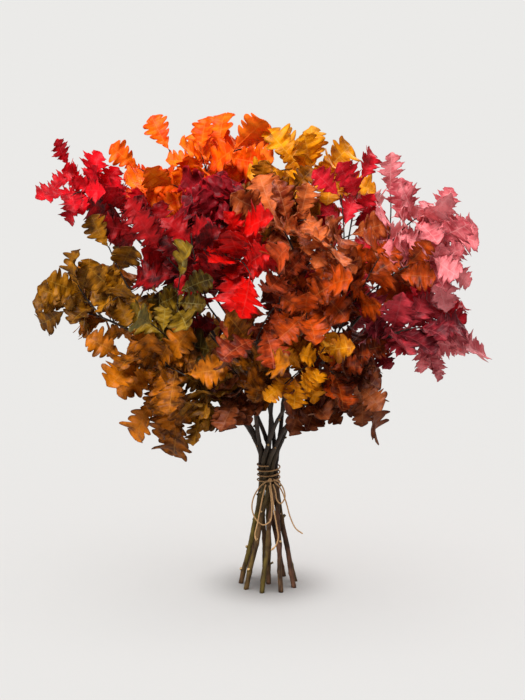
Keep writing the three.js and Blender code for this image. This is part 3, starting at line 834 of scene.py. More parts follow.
def tube_faces(rings: int, sides: int) -> list[list[int]]:
    """Returns the faces of a closed tube whose rings follow each other, facing outwards."""
    faces = []
    for ring in range(rings - 1):
        for side in range(sides):
            here, after = ring * sides + side, ring * sides + (side + 1) % sides
            faces.append([here, after, after + sides, here + sides])
    faces.append(list(range(sides - 1, -1, -1)))
    faces.append([(rings - 1) * sides + side for side in range(sides)])
    return faces


# ---- finishes ----------------------------------------------------------------------------------------------
@dataclass(frozen=True)
class LeafFinish:
    """Autumn oak leaf: papery, with a waxy upper face, a paler felted underside and fine pale veins."""

    name: str
    bright: str
    deep: str
    rim: str
    vein: str
    underside: str
    margin: Margin
    crumple: float = 0.35
    fillers: int = 5

    # A patch of one tone is about 14 mm across, a crinkle 7 mm, a fleck 2 mm and the leaf's grain 0.8 mm.
    PATCHES_PER_METRE = 70.0
    CRINKLES_PER_METRE = 140.0
    FLECKS_PER_METRE = 420.0
    GRAIN_PER_METRE = 1200.0

    # How strongly the worn edge, the flecks, the paler underside and the veins cover the leaf's own tone.
    WORN = 0.7
    FLECKED = 0.45
    PALE = 0.35
    VEINED = 0.24

    def _veins(
        self, tree: bpy.types.NodeTree, across: bpy.types.NodeSocket, lobe: bpy.types.NodeSocket
    ) -> bpy.types.NodeSocket:
        """Adds the midrib and the side veins, which thin out towards the margin.

        Args:
            tree: The material's tree.
            across: How far from the midrib a point is, up to a half.
            lobe: How far from a lobe's own vein a point is, up to a half.

        Returns:
            A socket that is 1 on a vein and 0 between veins.
        """
        midrib, lateral, fading = (
            add_node(tree, "ShaderNodeMapRange", {"Value": value, "From Min": far, "From Max": on}).outputs[0]
            for value, far, on in ((across, 0.03, 0.01), (lobe, 0.075, 0.015), (across, 0.5, 0.1))
        )
        lateral = add_node(tree, "ShaderNodeMath", {0: lateral, 1: fading}, operation="MULTIPLY").outputs[0]
        return add_node(tree, "ShaderNodeMath", {0: midrib, 1: lateral}, operation="MAXIMUM").outputs[0]

    def material(self) -> bpy.types.Material:
        """Builds the leaf's material.

        Returns:
            A material that reads the leaf's own UV map, its tone with painted shade, and which side a point is
            on.
        """
        material, tree, shader = new_material(f"{self.name}_oak_leaf")
        place = add_node(tree, "ShaderNodeTexCoord").outputs["Object"]
        tone, under = (
            add_node(tree, "ShaderNodeAttribute", attribute_name=name).outputs["Fac"]
            for name in ("leaf_tone", "underside")
        )
        patches, crinkle, flecks, grain = (
            add_node(tree, "ShaderNodeTexNoise", {"Vector": place, "Scale": scale, "Detail": fine}).outputs[0]
            for scale, fine in (
                (self.PATCHES_PER_METRE, 3.0), (self.CRINKLES_PER_METRE, 1.0),
                (self.FLECKS_PER_METRE, 2.0), (self.GRAIN_PER_METRE, 2.0),
            )
        )
        uv = add_node(tree, "ShaderNodeUVMap", uv_map="leaf").outputs["UV"]
        split = add_node(tree, "ShaderNodeSeparateXYZ", {"Vector": uv}).outputs
        lobe = add_node(tree, "ShaderNodeMath", {0: split["Y"], 1: LeafShape.UV_LOBES}, operation="MULTIPLY")
        lobe = add_node(tree, "ShaderNodeMath", {0: lobe.outputs[0]}, operation="FRACT").outputs[0]
        centred = (
            add_node(tree, "ShaderNodeMath", {0: value, 1: 0.5}, operation="SUBTRACT").outputs[0]
            for value in (split["X"], lobe)
        )
        across, lobe = (
            add_node(tree, "ShaderNodeMath", {0: value}, operation="ABSOLUTE").outputs[0] for value in centred
        )
        veins = self._veins(tree, across, lobe)
        # The tone attribute carries each leaf's random tone and the painted shade on leaves low in the middle
        # of the bunch.
        share = add_node(tree, "ShaderNodeMath", {0: patches, 1: 2.6, 2: -1.3}, operation="MULTIPLY_ADD")
        share = add_node(
            tree, "ShaderNodeMath", {0: share.outputs[0], 1: tone}, operation="ADD", use_clamp=True
        ).outputs[0]
        colour = add_node(
            tree, "ShaderNodeMix", {0: share, 6: linear(self.deep), 7: linear(self.bright)}, data_type="RGBA"
        ).outputs[2]
        worn = add_node(tree, "ShaderNodeMath", {0: flecks, 1: 0.16, 2: -0.08}, operation="MULTIPLY_ADD")
        worn = add_node(tree, "ShaderNodeMath", {0: across, 1: worn.outputs[0]}, operation="ADD").outputs[0]
        worn, fleck = (
            add_node(tree, "ShaderNodeMapRange", {"Value": part, "From Min": low, "From Max": top}).outputs[0]
            for part, low, top in ((worn, 0.36, 0.52), (flecks, 0.62, 0.72))
        )
        for cover, strength, tint in (
            (worn, self.WORN, self.rim), (fleck, self.FLECKED, self.deep),
            (under, self.PALE, self.underside), (veins, self.VEINED, self.vein),
        ):
            cover = add_node(tree, "ShaderNodeMath", {0: cover, 1: strength}, operation="MULTIPLY").outputs[0]
            colour = add_node(
                tree, "ShaderNodeMix", {0: cover, 6: colour, 7: linear(tint)}, data_type="RGBA"
            ).outputs[2]
        tree.links.new(colour, shader.inputs["Base Color"])
        gloss = add_node(tree, "ShaderNodeMath", {0: under, 1: 0.25, 2: 0.5}, operation="MULTIPLY_ADD")
        tree.links.new(gloss.outputs[0], shader.inputs["Roughness"])
        relief = add_node(tree, "ShaderNodeMath", {0: crinkle, 1: 6.0}, operation="MULTIPLY").outputs[0]
        for value, strength in ((veins, -1.0), (grain, 0.5)):
            relief = add_node(
                tree, "ShaderNodeMath", {0: value, 1: strength, 2: relief}, operation="MULTIPLY_ADD"
            ).outputs[0]
        bump = add_node(tree, "ShaderNodeBump", {"Height": relief, "Strength": 0.4, "Distance": 0.0005})
        tree.links.new(bump.outputs["Normal"], shader.inputs["Normal"])
        shader.inputs["Specular IOR Level"].default_value = 0.16
        return material


LEAF_FINISHES = {
    finish.name: finish
    for finish in (
        LeafFinish("red", "#ec0a1c", "#960410", "#80040c", "#f0404c", "#c42a34", Margin.POINTED, 0.45),
        LeafFinish("orange", "#ff7800", "#ee4200", "#bc3000", "#ffa040", "#fa7c20", Margin.ROUNDED, 0.1),
        LeafFinish("crimson", "#ac0a10", "#440204", "#3a0204", "#bc3034", "#8a2026", Margin.POINTED, 0.5, 7),
        LeafFinish("scarlet", "#e20400", "#7c0000", "#600000", "#e0483c", "#b02c20", Margin.POINTED, 0.3),
        LeafFinish(
            "burgundy", "#860a16", "#280206", "#d01220", "#a02c38", "#a83444", Margin.ROUNDED, 0.95, 16
        ),
        LeafFinish("olive", "#ac6c04", "#4a2802", "#402000", "#c89838", "#9c7430", Margin.ROUNDED, 0.35),
        LeafFinish("khaki", "#947014", "#3c2a02", "#362000", "#c4b064", "#a8a064", Margin.ROUNDED, 0.35),
        LeafFinish("ochre", "#c26a06", "#522800", "#442000", "#d08c30", "#a06424", Margin.ROUNDED, 0.35, 6),
        LeafFinish("yellow", "#fca004", "#a85c00", "#8c4800", "#ffd060", "#e8a83c", Margin.ROUNDED, 0.3),
        LeafFinish("terracotta", "#dc6c30", "#802a0a", "#642006", "#e49c68", "#dca074", Margin.ROUNDED, 0.35),
        LeafFinish("coral", "#cc4c1c", "#621a06", "#4c1202", "#de7e50", "#b86440", Margin.ROUNDED, 0.45),
        LeafFinish("rust", "#c84804", "#4c1400", "#3c0e00", "#d87c3c", "#a85824", Margin.ROUNDED, 0.45, 6),
        LeafFinish("raspberry", "#e01c2c", "#8a0814", "#6c060e", "#ea6068", "#c04048", Margin.POINTED, 0.4),
        LeafFinish("pink", "#f88c90", "#b8464e", "#9c343e", "#ffc8c4", "#f4b4b0", Margin.POINTED, 0.4, 4),
        LeafFinish("wine", "#b42c36", "#5a0e18", "#480810", "#c86468", "#a4484c", Margin.POINTED, 0.35, 3),
        LeafFinish("brown", "#904820", "#481606", "#380e02", "#a87048", "#9c7258", Margin.ROUNDED, 0.5, 4),
    )
}


@dataclass(frozen=True)
class BarkFinish:
    """Young oak bark: olive to red-brown low down, greyer above the tie and darker there with painted shade of
    the crown, with fine cracks.
    """

    low: str = "#6c5a1c"
    low_other: str = "#6a4430"
    low_deep: str = "#26160a"
    high: str = "#4c4038"
    high_shaded_deep: str = "#1c1410"

    # Cracks run along the branch about 3 mm apart, patches of colour are about 12 mm wide and 30 mm long, and
    # a branch keeps one tone for most of its length.
    CRACKS_PER_METRE = 330.0
    PATCHES_PER_METRE = 85.0
    BRANCHES_PER_METRE = 28.0

    def material(self) -> bpy.types.Material:
        """Builds the bark's material on object coordinates, stretched along the branch."""
        material, tree, shader = new_material("young_oak_bark")
        place = add_node(tree, "ShaderNodeTexCoord").outputs["Object"]
        height = add_node(tree, "ShaderNodeSeparateXYZ", {"Vector": place}).outputs["Z"]
        fields = []
        for scale, stretch, detail in (
            (self.CRACKS_PER_METRE, 0.22, 3.0), (self.PATCHES_PER_METRE, 0.4, 4.0),
            (self.BRANCHES_PER_METRE, 0.12, 1.0),
        ):
            stretched = add_node(tree, "ShaderNodeMapping", {"Vector": place, "Scale": (1.0, 1.0, stretch)})
            inputs = {"Vector": stretched.outputs["Vector"], "Scale": scale, "Detail": detail}
            fields.append(add_node(tree, "ShaderNodeTexNoise", inputs).outputs[0])
        cracks, patches, branch = fields
        branch, upper = (
            add_node(tree, "ShaderNodeMapRange", {"Value": part, "From Min": low, "From Max": top}).outputs[0]
            for part, low, top in ((branch, 0.42, 0.58), (height, 0.12, 0.24))
        )
        wear = add_node(tree, "ShaderNodeMath", {0: patches, 1: 2.6, 2: -1.3}, operation="MULTIPLY_ADD")
        wear = add_node(
            tree, "ShaderNodeMath", {0: cracks, 1: 1.1, 2: wear.outputs[0]}, operation="MULTIPLY_ADD",
            use_clamp=True,
        ).outputs[0]
        colour = linear(self.low)
        # Above the tie the bark turns greyer and darker: the grey is the bark's own, and the darkness is
        # painted shade of the crown.
        for share, other in ((branch, self.low_other), (upper, self.high)):
            colour = add_node(
                tree, "ShaderNodeMix", {0: share, 6: colour, 7: linear(other)}, data_type="RGBA"
            ).outputs[2]
        # The deep tone is darker above the tie too, as painted shade of the crown.
        deep = add_node(
            tree, "ShaderNodeMix", {0: upper, 6: linear(self.low_deep), 7: linear(self.high_shaded_deep)},
            data_type="RGBA",
        ).outputs[2]
        colour = add_node(tree, "ShaderNodeMix", {0: wear, 6: deep, 7: colour}, data_type="RGBA").outputs[2]
        tree.links.new(colour, shader.inputs["Base Color"])
        bump = add_node(tree, "ShaderNodeBump", {"Height": cracks, "Strength": 0.9, "Distance": 0.0012})
        tree.links.new(bump.outputs["Normal"], shader.inputs["Normal"])
        shader.inputs["Roughness"].default_value = 0.72
        shader.inputs["Specular IOR Level"].default_value = 0.3
        return material


@dataclass(frozen=True)
class CutWoodFinish:
    """Sapwood where a branch was cut: pale and dry, with a faint grain."""

    pale: str = "#c9a878"
    deep: str = "#93713f"
    GRAIN_PER_METRE = 900.0

    def material(self) -> bpy.types.Material:
        """Builds the cut face's material."""
        material, tree, shader = new_material("cut_sapwood")
        place = add_node(tree, "ShaderNodeTexCoord").outputs["Object"]
        grain = add_node(
            tree, "ShaderNodeTexNoise", {"Vector": place, "Scale": self.GRAIN_PER_METRE, "Detail": 2.0}
        ).outputs["Fac"]
        colour = add_node(
            tree, "ShaderNodeMix", {0: grain, 6: linear(self.deep), 7: linear(self.pale)}, data_type="RGBA"
        ).outputs[2]
        tree.links.new(colour, shader.inputs["Base Color"])
        shader.inputs["Roughness"].default_value = 0.85
        return material


@dataclass(frozen=True)
class JuteFinish:
    """Jute twine: straw-coloured twisted bast fibre, dull, with painted shade in the grooves between the
    strands.
    """

    pale: str = "#c79c6c"
    deep: str = "#80592f"

    # Bast fibres are about 0.3 mm apart along the strand, and dirty patches about 12 mm long.
    FIBRES_PER_METRE = 2600.0
    PATCHES_PER_METRE = 85.0

    def material(self) -> bpy.types.Material:
        """Builds the twine's material on object coordinates."""
        material, tree, shader = new_material("twisted_jute")
        place = add_node(tree, "ShaderNodeTexCoord").outputs["Object"]
        fibres, patches = (
            add_node(tree, "ShaderNodeTexNoise", {"Vector": place, "Scale": scale, "Detail": 2.0}).outputs[0]
            for scale in (self.FIBRES_PER_METRE, self.PATCHES_PER_METRE)
        )
        # Painted shade: this mask is 1 on the strands' crowns and 0 in the grooves, which come out darker.
        crown = add_node(tree, "ShaderNodeAttribute", attribute_name="strand_crown").outputs["Fac"]
        share = add_node(tree, "ShaderNodeMath", {0: patches, 1: 0.8, 2: -0.2}, operation="MULTIPLY_ADD")
        for value, clamped in ((fibres, False), (crown, True)):
            share = add_node(
                tree, "ShaderNodeMath", {0: value, 1: 0.5, 2: share.outputs[0]},
                operation="MULTIPLY_ADD", use_clamp=clamped,
            )
        colour = add_node(
            tree, "ShaderNodeMix",
            {0: share.outputs[0], 6: linear(self.deep), 7: linear(self.pale)}, data_type="RGBA",
        ).outputs[2]
        tree.links.new(colour, shader.inputs["Base Color"])
        bump = add_node(tree, "ShaderNodeBump", {"Height": fibres, "Strength": 0.5, "Distance": 0.0002})
        tree.links.new(bump.outputs["Normal"], shader.inputs["Normal"])
        shader.inputs["Roughness"].default_value = 0.9
        shader.inputs["Sheen Weight"].default_value = 0.15
        shader.inputs["Specular IOR Level"].default_value = 0.2
        return material


# ---- twine -------------------------------------------------------------------------------------------------
class FarEnd(Enum):
    """What a length of twine ends in."""

    KNOT = "knot"
    BARE = "bare"
    OBJECT = "object"


@dataclass(frozen=True)
class TwineRun:
    """One length of the bow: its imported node, how it ends, and the points it runs through in millimetres."""

    node: str
    far_end: FarEnd
    route: tuple[Triple, ...]


RUNS = (
    TwineRun("twine_bow_loop_left", FarEnd.OBJECT, (
        (-3.6, -26, 183), (-14, -27, 174), (-24, -27, 157), (-27, -28, 138), (-21, -31, 121),
        (-9, -34, 112), (2, -34.5, 118), (5, -33, 135), (4, -31, 155), (1, -29.8, 177),
    )),
    TwineRun("twine_bow_loop_right", FarEnd.OBJECT, (
        (7.6, -25, 186), (16, -26, 182), (24, -27, 170), (26, -28.5, 156), (19.5, -31, 147),
        (13.5, -32, 153), (11, -31, 167), (7, -29, 178.6),
    )),
    TwineRun("twine_tail_left", FarEnd.KNOT, (
        (-4.6, -28, 178), (-9, -32.5, 162), (-14, -38, 138), (-18.5, -41, 115), (-22, -41, 97),
        (-20, -41, 88),
    )),
    TwineRun("twine_tail_middle", FarEnd.KNOT, (
        (2.5, -31.5, 182), (5, -37, 166), (8.5, -40, 140), (13, -41, 112), (15.5, -42, 92), (11, -43, 79),
        (4, -43, 72),
    )),
    TwineRun("twine_tail_right", FarEnd.BARE, (
        (9.2, -23.5, 181), (19, -20, 169), (28, -22, 147), (35, -26, 122), (44, -29, 104), (55, -31, 96),
    )),
)


def smooth_route(points: Array, steps: int) -> Array:
    """Returns points along a centripetal Catmull-Rom curve.

    Args:
        points: The points that the curve runs through.
        steps: How many steps each stretch between two of them is cut into.

    Returns:
        The points along the curve, ends included.
    """
    guides = np.vstack([2 * points[0] - points[1], points, 2 * points[-1] - points[-2]])
    line = []
    for number in range(len(points) - 1):
        before, start, end, after = guides[number : number + 4]
        stretches = (start - before, end - start, after - end)
        gaps = [math.sqrt(float(np.linalg.norm(stretch))) for stretch in stretches]
        leaving = (start - before) / gaps[0] - (end - before) / (gaps[0] + gaps[1]) + (end - start) / gaps[1]
        arriving = (end - start) / gaps[1] - (after - start) / (gaps[1] + gaps[2]) + (after - end) / gaps[2]
        leaving, arriving = leaving * gaps[1], arriving * gaps[1]
        for step in range(steps):
            t = step / steps
            bend = (3 * (end - start) - 2 * leaving - arriving) * t * t
            line.append(start + leaving * t + bend + (2 * (start - end) + leaving + arriving) * t**3)
    return np.array(line + [points[-1]])


@dataclass
class Twine:
    """The jute twine: a wrap round the stems, a knot, a bow of two loops and three tails."""

    finish: bpy.types.Material
    spacing: float = 0.7
    lay_length: float = 7.5
    sides: int = 15
    groove: float = 0.2
    hair_length: float = 1.6
    hair_radius: float = 0.05
    hairs_per_square_metre: float = 160000.0
    knot_centre: Triple = (2.0, -24.5, 184.0)
    knot_loop: float = 2.7
    wrap_thickness: float = 0.97
    knot_thickness: float = 0.95
    end_knot_swell: float = 0.55
    end_knot_inset: float = 4.0
    end_knot_length: float = 2.6
    knot_steps: int = 40
    steps_per_knot_turn: float = 13.0

    def _strand(self) -> bpy.types.Object:
        """Makes the flat three-lobed section of the twine, as a ring of edges."""
        points, lit_crowns = [], []
        for side in range(self.sides):
            turn = 2.0 * math.pi * side / self.sides
            lobe = abs(math.cos(1.5 * turn))
            radius = TWINE_RADIUS * (1.0 - self.groove + self.groove * lobe**0.7)
            points.append((radius * math.cos(turn) * MM, radius * math.sin(turn) * MM, 0.0))
            # 1 on a strand's crown and 0 in the groove, where the material paints shade.
            lit_crowns.append(abs(math.cos(3.0 * math.pi * side / self.sides)))
        edges = [(side, (side + 1) % self.sides) for side in range(self.sides)]
        return wire_object("twine_section", points, edges, {"strand_crown": ("FLOAT", lit_crowns)})

    def _tree(self, section: bpy.types.Object, seed: int) -> bpy.types.NodeTree:
        """Builds the tree that spins twine along a line of edges and raises loose fibres on it.

        Args:
            section: The twine's section.
            seed: The first of the three seeds of the fibres.

        Returns:
            The tree.
        """
        sizes = ("Spacing", "Turn per Ring", "Fibre Length", "Fibre Radius", "Fibre Density")
        tree, entry = new_tree("spin_twine", {**dict.fromkeys(sizes, "Float"), "Finish": "Material"})
        line = add_node(tree, "GeometryNodeMeshToCurve", {"Mesh": entry["Geometry"]})
        line = add_node(
            tree, "GeometryNodeResampleCurve", {"Curve": line.outputs[0], "Length": entry["Spacing"]},
            mode="LENGTH",
        )
        number = add_node(tree, "GeometryNodeInputIndex").outputs[0]
        turn = add_node(tree, "ShaderNodeMath", {0: number, 1: entry["Turn per Ring"]}, operation="MULTIPLY")
        line = add_node(
            tree, "GeometryNodeSetCurveTilt", {"Curve": line.outputs[0], "Tilt": turn.outputs[0]}
        ).outputs[0]
        shape = add_node(tree, "GeometryNodeObjectInfo", {"Object": section})
        profile = add_node(tree, "GeometryNodeMeshToCurve", {"Mesh": shape.outputs["Geometry"]})
        width = add_node(tree, "GeometryNodeInputNamedAttribute", {"Name": "width"}, data_type="FLOAT")
        yarn = add_node(
            tree, "GeometryNodeCurveToMesh",
            {
                "Curve": line, "Profile Curve": profile.outputs[0], "Scale": width.outputs[0],
                "Fill Caps": True,
            },
        ).outputs[0]
        spots = add_node(
            tree, "GeometryNodeDistributePointsOnFaces",
            {"Mesh": yarn, "Density": entry["Fibre Density"], "Seed": seed},
        )
        tilt = add_node(
            tree, "FunctionNodeRandomValue",
            {0: (-1.2, -1.2, -3.1), 1: (1.2, 1.2, 3.1), "Seed": seed + 1}, data_type="FLOAT_VECTOR",
        )
        turned = add_node(
            tree, "FunctionNodeRotateRotation",
            {"Rotation": spots.outputs["Rotation"], "Rotate By": tilt.outputs[0]}, rotation_space="LOCAL",
        )
        fibre = add_node(
            tree, "GeometryNodeMeshCone",
            {
                "Vertices": 3, "Side Segments": 2, "Radius Top": 0.00001,
                "Radius Bottom": entry["Fibre Radius"], "Depth": entry["Fibre Length"],
            },
        ).outputs["Mesh"]
        scale = add_node(
            tree, "FunctionNodeRandomValue", {2: 0.35, 3: 1.0, "Seed": seed + 2}, data_type="FLOAT"
        )
        hairs = add_node(
            tree, "GeometryNodeInstanceOnPoints",
            {
                "Points": spots.outputs["Points"], "Instance": fibre, "Rotation": turned.outputs[0],
                "Scale": scale.outputs[1],
            },
        ).outputs[0]
        end_tree(tree, [yarn, hairs], entry["Finish"])
        return tree

    def _spun(
        self, name: str, line: Array, widths: Array, section: bpy.types.Object, seed: int
    ) -> bpy.types.Object:
        """Spins one length of twine.

        Args:
            name: The piece's name.
            line: The points that the twine follows, in millimetres.
            widths: How thick it is at each of them, as a share of its own thickness.
            section: The section of the twine.
            seed: The seed of its loose fibres.

        Returns:
            The piece.
        """
        points, edges = (line * MM).tolist(), [(i, i + 1) for i in range(len(line) - 1)]
        holder = wire_object(f"{name}_line", points, edges, {"width": ("FLOAT", widths.tolist())})
        values = {
            "Spacing": self.spacing * MM,
            "Turn per Ring": 2.0 * math.pi * self.spacing / self.lay_length,
            "Fibre Length": self.hair_length * MM,
            "Fibre Radius": self.hair_radius * MM,
            "Fibre Density": self.hairs_per_square_metre,
            "Finish": self.finish,
        }
        piece = grown_object(holder, self._tree(section, seed), values, name)
        piece.data.polygons.foreach_set("use_smooth", [True] * len(piece.data.polygons))
        return piece

    def wrap_route(self) -> Array:
        """Returns the helix of the wrap round the stems."""
        count = round(WRAP_TURNS * WRAP_STEPS_PER_TURN)
        points = []
        for step in range(count + 1):
            z = TIE_HEIGHT + WRAP_HEIGHT * (step / count - 0.5)
            waist = math.hypot(RING_RADIUS, SPLAY * (z - TIE_HEIGHT)) + TIE_RADIUS
            radius = (waist + TWINE_RADIUS + GAP) / math.cos(math.pi / WRAP_STEPS_PER_TURN)
            turn = 2.0 * math.pi * step / WRAP_STEPS_PER_TURN
            points.append((radius * math.cos(turn), radius * math.sin(turn), z))
        return np.array(points)

    def knot_route(self) -> Array:
        """Returns the short tight turns of the knot."""
        points = []
        for step in range(self.knot_steps):
            turn = 2.0 * math.pi * step / self.steps_per_knot_turn
            wander = 1.1 * math.sin(2.3 * turn)
            x = 1.9 * math.sin(turn * 0.5) + self.knot_loop * math.cos(turn) * 0.75
            y = self.knot_loop * math.sin(turn) * 0.62
            points.append((x, y, self.knot_loop * math.cos(turn + 1.1) * 0.8 + wander))
        return np.array(points) + np.array(self.knot_centre)

    def build(self) -> None:
        section = self._strand()
        wrap = smooth_route(self.wrap_route(), 6)
        pieces = [self._spun("jute_wrap", wrap, np.full(len(wrap), self.wrap_thickness), section, 11)]
        knot = smooth_route(self.knot_route(), 4)
        pieces.append(self._spun("jute_knot", knot, np.full(len(knot), self.knot_thickness), section, 12))
        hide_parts("twine_wrap")
        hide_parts("twine_knot")
        for number, run in enumerate(RUNS):
            line = smooth_route(np.array(run.route, dtype=float), 12)
            lengths = run_along(line)
            widths = np.full(len(line), 1.0)
            if run.far_end is FarEnd.KNOT:
                from_knot = lengths[-1] - lengths - self.end_knot_inset
                widths += self.end_knot_swell * np.exp(-((from_knot / self.end_knot_length) ** 2))
            piece = self._spun(run.node.replace("twine", "jute"), line, widths, section, 20 + number)
            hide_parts(run.node)
            LOG.info("%s: %.0f mm of twine", piece.name, lengths[-1])
            pieces.append(piece)
        for piece in pieces:
            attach(piece, "root")
        bpy.data.objects.remove(section)


# ---- branches ----------------------------------------------------------------------------------------------
@dataclass
class Branches:
    """The barked branches: main stems with knots and cut stubs, their twigs and buds."""

    growth: Growth
    bark: bpy.types.Material
    cut: bpy.types.Material
    sides: int = 14
    ring_step: float = 4.0
    arch_over_chord: float = 1.04
    first_knot: float = 16.0
    knot_gap: float = 34.0
    knot_gap_sway: float = 22.0
    no_knot_near_tip: float = 20.0
    knot_swell: float = 0.2
    knot_length: float = 3.0
    zigzag: float = 0.7
    straight_foot: float = 30.0
    cut_ring: float = 0.82
    roughness: float = 0.04
    stub_sides: int = 9
    no_stub_near_tie: float = 30.0
    no_stub_above: float = 420.0
    stubless_share: float = 0.35
    stub_leans: tuple[float, float] = (0.5, 1.1)
    stub_lengths: tuple[float, float] = (1.2, 4.2)
    stub_radii: tuple[float, float] = (1.3, 2.1)
    stub_rings: int = 4
    twig_steps: int = 14
    twig_node_swell: float = 0.22
    bud_places: Triple = (0.3, 0.52, 0.76)
    end_bud: float = 1.3
    bud_length: float = 2.6
    bud_radius: float = 0.85

    def _line(self, stem: StemPlan, seed: int) -> tuple[Array, Array, list[float]]:
        """Samples a stem.

        Args:
            stem: The stem.
            seed: The seed of its knots.

        Returns:
            Its points, its radii and how far along it its knots are, in millimetres.
        """
        arch = stem.arch()
        top = TIE_HEIGHT + STRAIGHT_ABOVE_TIE
        points, radii = [], []
        count = round(top / self.ring_step)
        for step in range(count):
            share = step / count
            points.append(stem.line(top * share))
            radii.append(mix(FOOT_RADIUS, TIE_RADIUS, min(1.0, share * TAPER_BELOW)))
        chord = float(np.linalg.norm(arch.end - arch.start))
        count = round(chord * self.arch_over_chord / self.ring_step)
        for step in range(count + 1):
            points.append(arch.point(step / count))
            radii.append(arch_radius(step / count))
        points, radii = np.array(points), np.array(radii)
        run = run_along(points)
        knots, place = [], self.first_knot + self.knot_gap_sway * chance(seed, 1)
        while place < run[-1] - self.no_knot_near_tip:
            knots.append(place)
            place += self.knot_gap + self.knot_gap_sway * chance(seed, place)
        swell = sum(np.exp(-(((run - knot) / self.knot_length) ** 2)) for knot in knots)
        turns = np.interp(run, knots, [math.pi * number for number in range(len(knots))])
        calm = np.clip(run / self.straight_foot, 0.0, 1.0)
        side = unit(np.cross(points[-1] - points[0], [0.3, 1.0, 0.2]))
        points = points + side * (self.zigzag * np.cos(turns) * calm)[:, None]
        return points, radii * (1.0 + self.knot_swell * swell), knots

    def _tube(self, points: Array, radii: Array, sides: int, flat_foot: bool) -> tuple[Array, list]:
        """Lofts a closed tube, with an inner ring on each end for the cut wood.

        Args:
            points: The points of its middle line.
            radii: Its radii there.
            sides: How many sides it has.
            flat_foot: Whether its first ring is cut level.

        Returns:
            Its vertices and its faces.
        """
        tangents = np.gradient(points, axis=0)
        tangents /= np.linalg.norm(tangents, axis=1, keepdims=True)
        across = unit(np.cross(tangents[0], [0.2, 1.0, 0.1]))
        vertices = []
        last = len(points) - 1
        for ring, centre in enumerate(points):
            across = unit(across - tangents[ring] * float(across @ tangents[ring]))
            other = np.cross(tangents[ring], across)
            shares = {0: (self.cut_ring, 1.0), last: (1.0, self.cut_ring)}.get(ring, (1.0,))
            for share in shares:
                for side in range(sides):
                    turn = 2.0 * math.pi * side / sides
                    rough = 1.0 + self.roughness * sway(side + 3.0, ring + 11.0)
                    reach = (across * math.cos(turn) + other * math.sin(turn)) * radii[ring] * share * rough
                    if flat_foot and ring == 0:
                        reach = reach - tangents[0] * (reach[2] / tangents[0][2])
                    vertices.append(centre + reach)
        return np.array(vertices), tube_faces(len(points) + 2, sides)

    def _stubs(self, points: Array, radii: Array, knots: list[float], seed: int) -> list[tuple]:
        """Lofts the cut stubs of side twigs, which stand on some of the stem's knots.

        Args:
            points: The stem's points.
            radii: Its radii there.
            knots: How far along it its knots are.
            seed: The stem's seed.

        Returns:
            The vertices, the faces and the number of sides of each stub.
        """
        run = run_along(points)
        stubs = []
        for number, knot in enumerate(knots):
            near_tie = abs(knot - TIE_HEIGHT * 1.03) < self.no_stub_near_tie
            bare = chance(seed + 5, number) < self.stubless_share
            if near_tie or bare or knot > self.no_stub_above:
                continue
            ring = int(np.searchsorted(run, knot))
            along = unit(points[ring + 1] - points[ring])
            outward = points[ring] * np.array([1.0, 1.0, 0.0])
            outward = outward + 0.6 * np.linalg.norm(outward) * np.array(
                [sway(seed, number + 2), sway(seed, number + 7), 0.0]
            )
            if np.linalg.norm(outward) < 1.0:
                outward = np.array([math.cos(seed + number), math.sin(seed + number), 0.0])
            outward = unit(outward - along * float(outward @ along))
            heading = unit(outward + along * mix(*self.stub_leans, chance(seed + 6, number)))
            length = radii[ring] * 1.15 + mix(*self.stub_lengths, chance(seed + 7, number) ** 2)
            start = points[ring] + heading * 0.5
            shares = np.linspace(0.0, 1.0, self.stub_rings)
            stub = np.array([start + heading * (length * share) for share in shares])
            width = mix(*self.stub_radii, chance(seed + 8, number)) * radii[ring] / TIE_RADIUS
            widths = np.full(self.stub_rings, width)
            stubs.append((*self._tube(stub, widths, self.stub_sides, False), self.stub_sides))
        return stubs

    def _stem_mesh(self, stem: StemPlan, seed: int, sprays: list[GrownSpray]) -> bpy.types.Object:
        """Makes a whole branch.

        Args:
            stem: The main stem.
            seed: The seed of its knots and stubs.
            sprays: The sprays that grow on it.

        Returns:
            One object with the stem, its stubs and its twigs.
        """
        points, radii, knots = self._line(stem, seed)
        parts = [(*self._tube(points, radii, self.sides, True), self.sides)]
        parts += self._stubs(points, radii, knots, seed)
        vertices, faces, cut_faces = [], [], []
        offset = 0
        for part_vertices, part_faces, sides in parts:
            vertices.append(part_vertices)
            first = len(faces)
            faces += [[i + offset for i in face] for face in part_faces]
            rings = len(part_vertices) // sides
            cut_faces += list(range(first, first + sides))
            cut_faces += list(range(first + (rings - 2) * sides, first + (rings - 1) * sides))
            cut_faces += [len(faces) - 2, len(faces) - 1]
            offset += len(part_vertices)
        thing = mesh_object(
            f"{stem.name}_wood", np.concatenate(vertices) * MM, faces, [self.bark, self.cut]
        )
        marks = np.zeros(len(thing.data.polygons), dtype=int)
        marks[cut_faces] = 1
        thing.data.polygons.foreach_set("material_index", marks)
        return self._with_twigs(thing, sprays)

